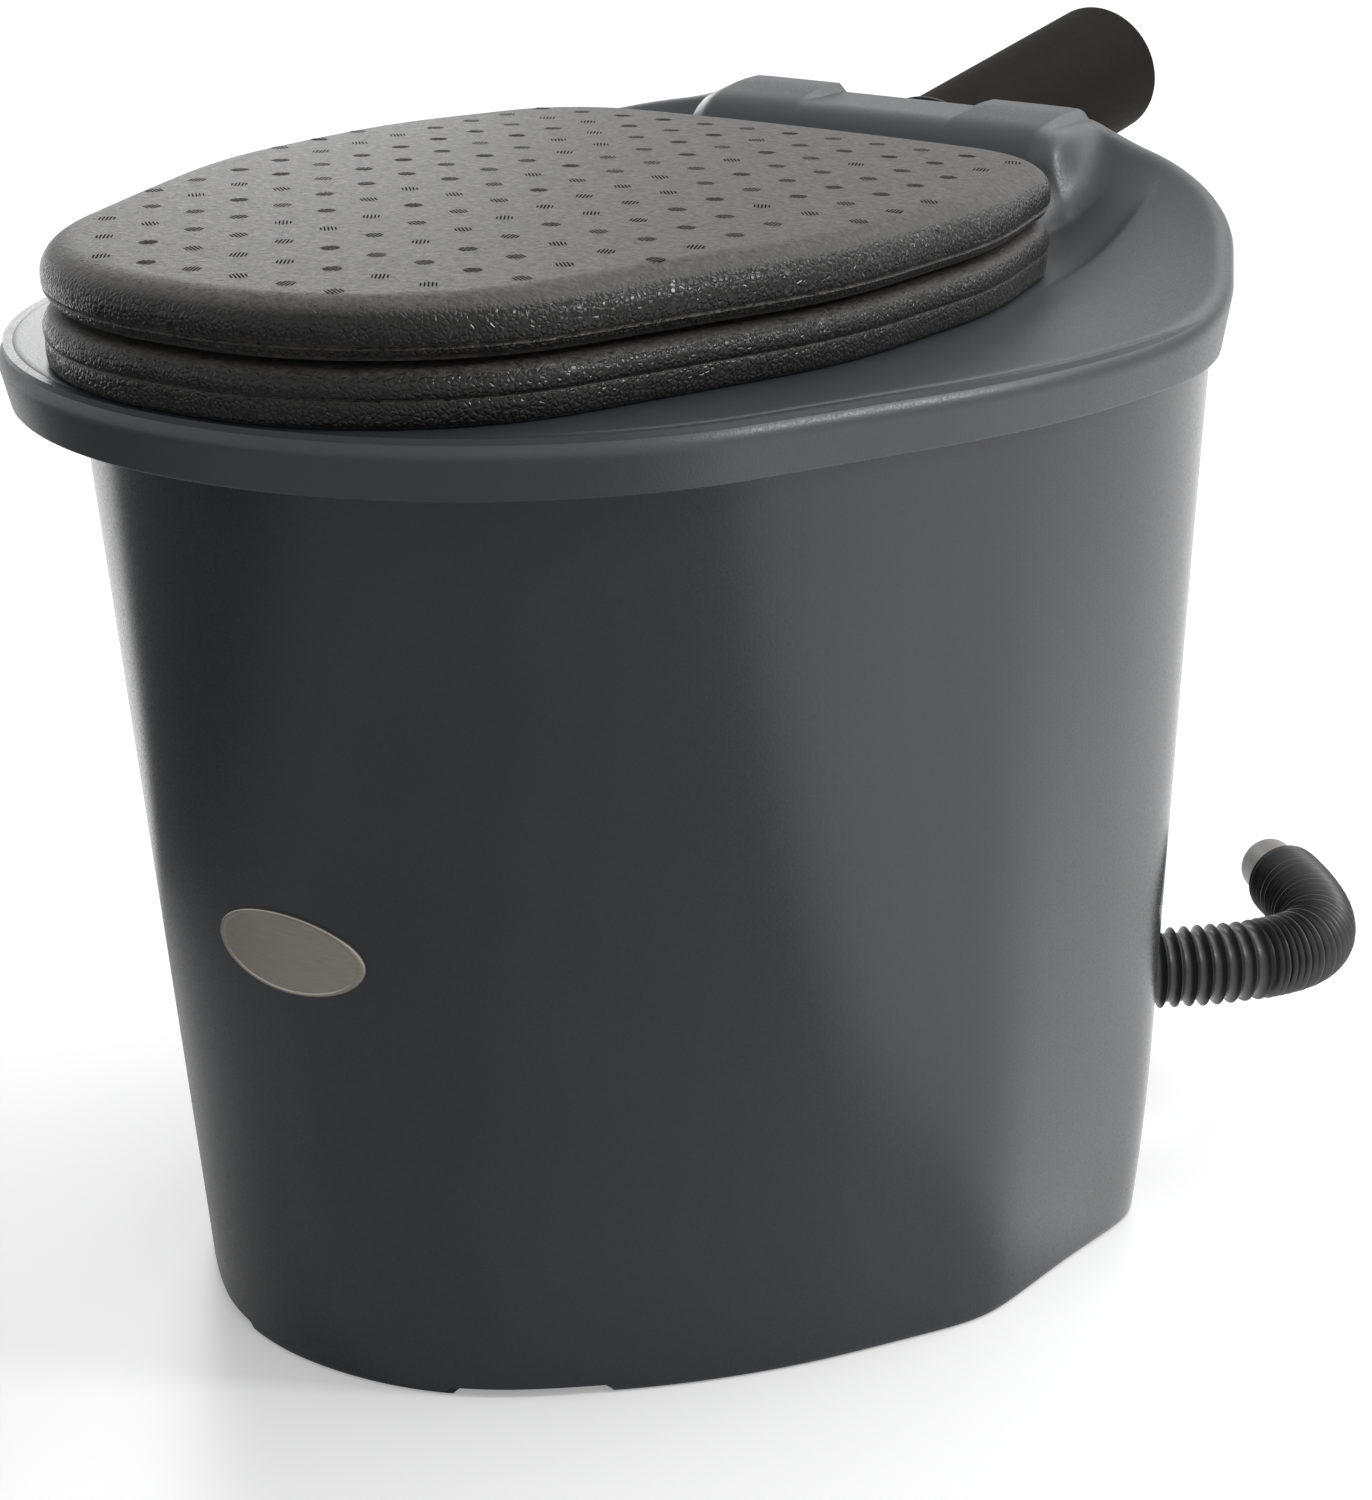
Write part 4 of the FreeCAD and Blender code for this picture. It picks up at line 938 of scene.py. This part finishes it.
# Seat lid: one thick crowned piece of the same foam, hinged at the back on two pins, with four small rests
# below and the marks of the mould's steam vents on top.
lid_bottom = 524
lid_top = 556
lid_crown = 6000
lid_round = 19
lid_heel = 8
lid_draft = 0.9
lid_parting = [(0.8, 530.0), (1.5, 530.8), (2.1, 531.2), (1.5, 531.6), (0.4, 532.3), (0.0, 533.6)]
under_rows = 8
heel_steps = 6
round_steps = 14
crown_rows = 16
notch_half = 17
hinge_notch = (132.5, 170, 515, 543.5)
rest_places = [(64, -296), (-64, -296), (151, -60), (-151, -60)]
rest_root = 1
rest_profile = [(0, 0), (0, 8), (3.2, 8), (3.8, 7.4), (3.8, 0)]


def crown(p):
    """How far the lid's top falls away from its middle."""
    return ((p.xy - seat_middle).length ** 2) / (2 * lid_crown)


edge = outline(seat_corners, seat_radii, lid_round)
under = outline(seat_corners, seat_radii, lid_heel + lid_draft)
rings = [[Vector((0, seat_middle.y, lid_bottom))]]
rings += [at_height([seat_middle.lerp(p, k / under_rows) for p in under], lid_bottom)
          for k in range(1, under_rows)]
rings += [seat_line(lid_heel * (1 - s) + lid_draft, lid_bottom + lid_heel * (1 - c))
          for s, c in quarter(heel_steps)[:-1]]
rings += [seat_line(inset, z) for inset, z in lid_parting]
for s, c in quarter(round_steps):
    ring = seat_line(lid_round * (1 - c), lid_top - lid_round * (1 - s))
    for p, q in zip(ring, edge):
        p.z -= crown(q) * s
    rings.append(ring)
for k in range(crown_rows - 1, 0, -1):
    ring = at_height([seat_middle.lerp(p, k / crown_rows) for p in edge], lid_top)
    for p in ring:
        p.z -= crown(p)
    rings.append(ring)
rings.append([Vector((0, seat_middle.y, lid_top))])
lid = new_piece("seat_foam_lid", rings)
cut_away(lid, [brick(x - notch_half, x + notch_half, *hinge_notch) for x in hinge_sides])
for x, y in rest_places:
    add_shell(lid, turned((x, y, lid_bottom + rest_root), (0, 0, -1), rest_profile, 40))
smoothed(lid.data, 40)
settle(lid, bead_foam, "bead_foam", "lid", "seat_lid")

# Steam vent marks: small round patches of slits that the mould leaves on the lid's top, in straight rows,
# each turned its own way. They are closed slivers that stand a hair proud, in painted shade as dark as the
# slits look.
mark_sizes = {"Spacing": 26.5, "Row gap": 31, "Mark radius": 4.3, "Slit pitch": 1.7, "Slit width": 0.7,
              "Slit depth": 0.4, "Proud": 0.1, "Margin": 4}
mark_columns = 20
mark_rows = 24
mark_row = -76.5
mark_turn = (math.radians(85), math.radians(165))
mark_seed = 7
slit_count = 5
least_level = 0.975
above_lid = 1000
vent_marks, mark_sockets = new_form("vent_marks", "Geometry", mark_sizes,
                                    {"Lid": "Object", "Seed": "Int", "Finish": "Material"}, "Marks")
given = add(vent_marks, "NodeGroupInput").outputs

# A grid of places above the lid, of which only those are kept that lie well inside its level top.
wide = add(vent_marks, "ShaderNodeMath", {0: given["Spacing"], 1: mark_columns}, operation="MULTIPLY")
deep = add(vent_marks, "ShaderNodeMath", {0: given["Row gap"], 1: mark_rows}, operation="MULTIPLY")
grid = add(vent_marks, "GeometryNodeMeshGrid",
           {"Size X": wide, "Size Y": deep, "Vertices X": mark_columns + 1, "Vertices Y": mark_rows + 1})
half_step = add(vent_marks, "ShaderNodeMath", {0: given["Spacing"], 1: 0.5}, operation="MULTIPLY")
lid_place = add(vent_marks, "ShaderNodeCombineXYZ", {0: half_step, 1: mark_row * MM, 2: above_lid * MM})
gridded = add(vent_marks, "GeometryNodeSetPosition", {"Geometry": grid, "Offset": lid_place})
here = add(vent_marks, "GeometryNodeInputPosition")
from_middle = add(vent_marks, "ShaderNodeVectorMath", {0: here, 1: (0, seat_middle.y * MM, above_lid * MM)},
                  operation="SUBTRACT")
way_out = add(vent_marks, "ShaderNodeVectorMath", {0: from_middle}, operation="NORMALIZE")
margin = add(vent_marks, "ShaderNodeVectorMath", {0: way_out, "Scale": given["Margin"]}, operation="SCALE")
beyond = add(vent_marks, "ShaderNodeVectorMath", {0: here, 1: margin}, operation="ADD")
lid_shape = add(vent_marks, "GeometryNodeObjectInfo", {"Object": given["Lid"]}).outputs["Geometry"]
downwards = {"Target Geometry": lid_shape, "Ray Direction": (0, 0, -1), "Ray Length": 2 * above_lid * MM}
edge_ray = add(vent_marks, "GeometryNodeRaycast", {**downwards, "Source Position": beyond}).outputs
edge_face = add(vent_marks, "ShaderNodeSeparateXYZ", {0: edge_ray["Hit Normal"]})
level = add(vent_marks, "FunctionNodeCompare", {"A": edge_face.outputs["Z"], "B": least_level},
            operation="GREATER_THAN")
kept = add(vent_marks, "FunctionNodeBooleanMath", {0: level, 1: edge_ray["Is Hit"]}, operation="AND")
ray = add(vent_marks, "GeometryNodeRaycast", {**downwards, "Source Position": here}).outputs
turn = add(vent_marks, "FunctionNodeRandomValue", {2: mark_turn[0], 3: mark_turn[1], "Seed": given["Seed"]},
           data_type="FLOAT")
spun = add(vent_marks, "FunctionNodeAxisAngleToRotation", {"Axis": (0, 0, 1), "Angle": turn})
flush = add(vent_marks, "FunctionNodeAlignRotationToVector", {"Rotation": spun, "Vector": ray["Hit Normal"]},
            axis="Z")

# One mark: slits side by side, each as long as the round patch is wide at its place.
slit_first = add(vent_marks, "ShaderNodeMath", {0: given["Slit pitch"], 1: (1 - slit_count) / 2},
                 operation="MULTIPLY")
slit_start = add(vent_marks, "ShaderNodeCombineXYZ", {1: slit_first})
slit_step = add(vent_marks, "ShaderNodeCombineXYZ", {1: given["Slit pitch"]})
slit_line = add(vent_marks, "GeometryNodeMeshLine",
                {"Count": slit_count, "Start Location": slit_start, "Offset": slit_step})
slit_size = add(vent_marks, "ShaderNodeCombineXYZ", {0: 1.0, 1: given["Slit width"], 2: given["Slit depth"]})
slit = add(vent_marks, "GeometryNodeMeshCube", {"Size": slit_size})
sunk = add(vent_marks, "ShaderNodeMath", {0: given["Slit depth"], 1: -0.5, 2: given["Proud"]},
           operation="MULTIPLY_ADD")
sunk_place = add(vent_marks, "ShaderNodeCombineXYZ", {2: sunk})
slit_sunk = add(vent_marks, "GeometryNodeTransform", {"Geometry": slit, "Translation": sunk_place})
across = add(vent_marks, "ShaderNodeSeparateXYZ", {0: here}).outputs["Y"]
across_squared = add(vent_marks, "ShaderNodeMath", {0: across, 1: across}, operation="MULTIPLY")
radius_squared = add(vent_marks, "ShaderNodeMath", {0: given["Mark radius"], 1: given["Mark radius"]},
                     operation="MULTIPLY")
left_over = add(vent_marks, "ShaderNodeMath", {0: radius_squared, 1: across_squared}, operation="SUBTRACT")
half_chord = add(vent_marks, "ShaderNodeMath", {0: left_over}, operation="SQRT")
chord = add(vent_marks, "ShaderNodeMath", {0: half_chord, 1: 2.0}, operation="MULTIPLY")
slit_scale = add(vent_marks, "ShaderNodeCombineXYZ", {0: chord, 1: 1.0, 2: 1.0})
slits = add(vent_marks, "GeometryNodeInstanceOnPoints",
            {"Points": slit_line, "Instance": slit_sunk, "Scale": slit_scale})
mark = add(vent_marks, "GeometryNodeRealizeInstances", {"Geometry": slits})
marks = add(vent_marks, "GeometryNodeInstanceOnPoints",
            {"Points": gridded, "Selection": kept, "Instance": mark, "Rotation": flush})
dropped = add(vent_marks, "GeometryNodeSetPosition", {"Geometry": marks, "Position": ray["Hit Position"]})
whole = add(vent_marks, "GeometryNodeRealizeInstances", {"Geometry": dropped})
coated = add(vent_marks, "GeometryNodeSetMaterial", {"Geometry": whole, "Material": given["Finish"]})
add(vent_marks, "NodeGroupOutput", {"Marks": coated})

# Slit in foam: painted shade, nearly black as a slit looks where light goes in and does not come out, with a
# little dust in it.
slit_shade, tree, place = new_finish("shaded_foam_slit", Roughness=0.9, Specular_IOR_Level=0.0)
dust = add(tree, "ShaderNodeTexNoise", {"Vector": place, "Scale": 1 / (2 * MM), "Detail": 3})
patterned(tree, tone=(dust, "#0f0f0f", "#242322"))
vents = new_piece("lid_vent_marks")
shape_by(vents, vent_marks, mark_sockets, mark_sizes, {"Lid": lid, "Seed": mark_seed, "Finish": slit_shade})
baked(vents)
settle(vents, slit_shade, "bead_foam", "lid")

# Studio: a white floor without an edge, a hair below the foot, a white surround, and soft light from behind,
# above and the right.
floor_half = 20
floor_drop = 0.2
floor = new_piece("studio_floor")
build = bmesh.new()
bmesh.ops.create_grid(build, x_segments=1, y_segments=1, size=floor_half)
bmesh.ops.translate(build, verts=build.verts, vec=(0, 0, -floor_drop * MM))
build.to_mesh(floor.data)
build.free()

# Matt white floor paint: a faint sheen near the foot. Seen directly it is lifted to white and keeps shadows.
# In reflections the floor shows painted light and painted shade, laid out below.
direct_lift = 0.30
painted_reflection_glow = 0.7
painted_light_way = (0.19, 1.0, 0.0)
painted_light_aside = 0.30
floor_paint_and_painted_reflections, tree, place = new_finish("matt_white_floor_paint", Roughness=0.35, Emission_Color=(1, 1, 1, 1))
seen = add(tree, "ShaderNodeLightPath").outputs
clear = add(tree, "ShaderNodeMath", {0: seen["Is Camera Ray"], 1: seen["Is Transmission Ray"]},
            operation="MAXIMUM")
lifted = add(tree, "ShaderNodeMath", {0: clear, 1: direct_lift}, operation="MULTIPLY")
# Painted reflection: only in reflections, the floor is painted brightest and glows behind the object and at
# its right, which paints light on the object's right side. It is painted darker in front and darker still at
# the far left, which paints shade on the object's front and left, and it stays white close to the foot.
where = add(tree, "ShaderNodeSeparateXYZ", {0: place}).outputs
aside = add(tree, "ShaderNodeMath", {0: where["X"]}, operation="ABSOLUTE")
tipped = add(tree, "ShaderNodeVectorMath", {0: place, 1: painted_light_way}, operation="DOT_PRODUCT")
backwards = add(tree, "ShaderNodeMath", {0: aside, 1: painted_light_aside, 2: tipped}, operation="MULTIPLY_ADD")
painted_lit = add(tree, "ShaderNodeMapRange", {"Value": backwards, "From Min": 0.11, "From Max": 0.22},
          interpolation_type="SMOOTHSTEP")
# Painted light: only in reflections, the floor glows where the mask above is highest.
painted_bright = add(tree, "ShaderNodeMath", {0: seen["Is Glossy Ray"], 1: painted_lit}, operation="MULTIPLY")
strength = add(tree, "ShaderNodeMath", {0: painted_bright, 1: painted_reflection_glow, 2: lifted}, operation="MULTIPLY_ADD")
# Painted shade: only in reflections, the floor's colour is darkened in front and more at the far left.
painted_dark = add(tree, "ShaderNodeMath", {0: seen["Is Glossy Ray"], 1: painted_bright}, operation="SUBTRACT")
apart = add(tree, "ShaderNodeVectorMath", {0: place}, operation="LENGTH")
away = add(tree, "ShaderNodeMapRange", {"Value": apart, "From Min": 0.3, "From Max": 0.65})
painted_dim = add(tree, "ShaderNodeMath", {0: painted_dark, 1: away}, operation="MULTIPLY")
shade = add(tree, "ShaderNodeMapRange", {"Value": where["X"], "From Min": -0.65, "From Max": -0.3})
painted_shade_colour = add(tree, "ShaderNodeMix", {"Factor": shade, 6: linear("#2c2c2d"), 7: linear("#b4b4b6")},
             data_type="RGBA")
paint_and_painted_shade = add(tree, "ShaderNodeMix", {"Factor": painted_dim, 6: linear("#e6e6e6"), 7: painted_shade_colour}, data_type="RGBA")
feed(tree, tree.nodes["Principled BSDF"], {"Base Color": paint_and_painted_shade, "Emission Strength": strength})
floor.data.materials.append(floor_paint_and_painted_reflections)

world = bpy.data.worlds.new("studio_surround")
bpy.context.scene.world = world
world.use_nodes = True
tree = world.node_tree
seen = add(tree, "ShaderNodeLightPath").outputs
seen_or_shiny = add(tree, "ShaderNodeMath", {0: seen["Is Camera Ray"], 1: seen["Is Glossy Ray"]},
                    operation="MAXIMUM")
direct = add(tree, "ShaderNodeMath", {0: seen_or_shiny, 1: seen["Is Transmission Ray"]}, operation="MAXIMUM")
strength = add(tree, "ShaderNodeMapRange", {"Value": direct, "To Min": 0.4, "To Max": 1.0})
feed(tree, tree.nodes["Background"], {"Color": (1, 1, 1, 1), "Strength": strength})


def hang(name, fitting, place, aim):
    """Puts a lamp or the camera in its place, turned towards its aim."""
    hung = bpy.data.objects.new(name, fitting)
    hung.location = place
    hung.rotation_euler = (Vector(aim) - Vector(place)).to_track_quat("-Z", "Y").to_euler()
    bpy.context.scene.collection.objects.link(hung)
    return hung


# Two suns: a broad key from behind and a weak fill from the right, with their strength and spread in degrees.
suns = {"back_key": ((0.5, 1.5, 1.9), 1.5, 55), "right_fill": ((1.6, -0.4, 1.2), 0.4, 70)}
for name, (place, power, width) in suns.items():
    lamp = bpy.data.lights.new(name, "SUN")
    lamp.energy = power
    lamp.angle = math.radians(width)
    hang(name, lamp, place, (0, 0, 0))

# Two softboxes: one low behind the left corner, for the shine on the lid, and one high at the right, for the
# glints on the foam's sides.
softboxes = {"rear_left_box": ((-1.02, 0.8, 0.82), (-0.1, -0.05, 0.55), 3.0, (0.5, 0.4)),
             "right_box": ((1.75, 0.45, 1.5), (0.1, -0.2, 0.5), 16.0, (0.4, 0.4))}
for name, (place, aim, power, sides) in softboxes.items():
    lamp = bpy.data.lights.new(name, "AREA")
    lamp.shape = "RECTANGLE"
    lamp.size, lamp.size_y = sides
    lamp.energy = power
    hang(name, lamp, place, aim)

# Camera: to the front right and a little above, as the object was photographed.
lens = bpy.data.cameras.new("camera")
lens.lens = 95.7
lens.sensor_width = 36
bpy.context.scene.camera = hang("camera", lens, (1.133, -1.610, 0.900), (0.0587, -0.0508, 0.270))
bpy.context.scene.view_settings.view_transform = "Standard"

bpy.context.view_layer.update()
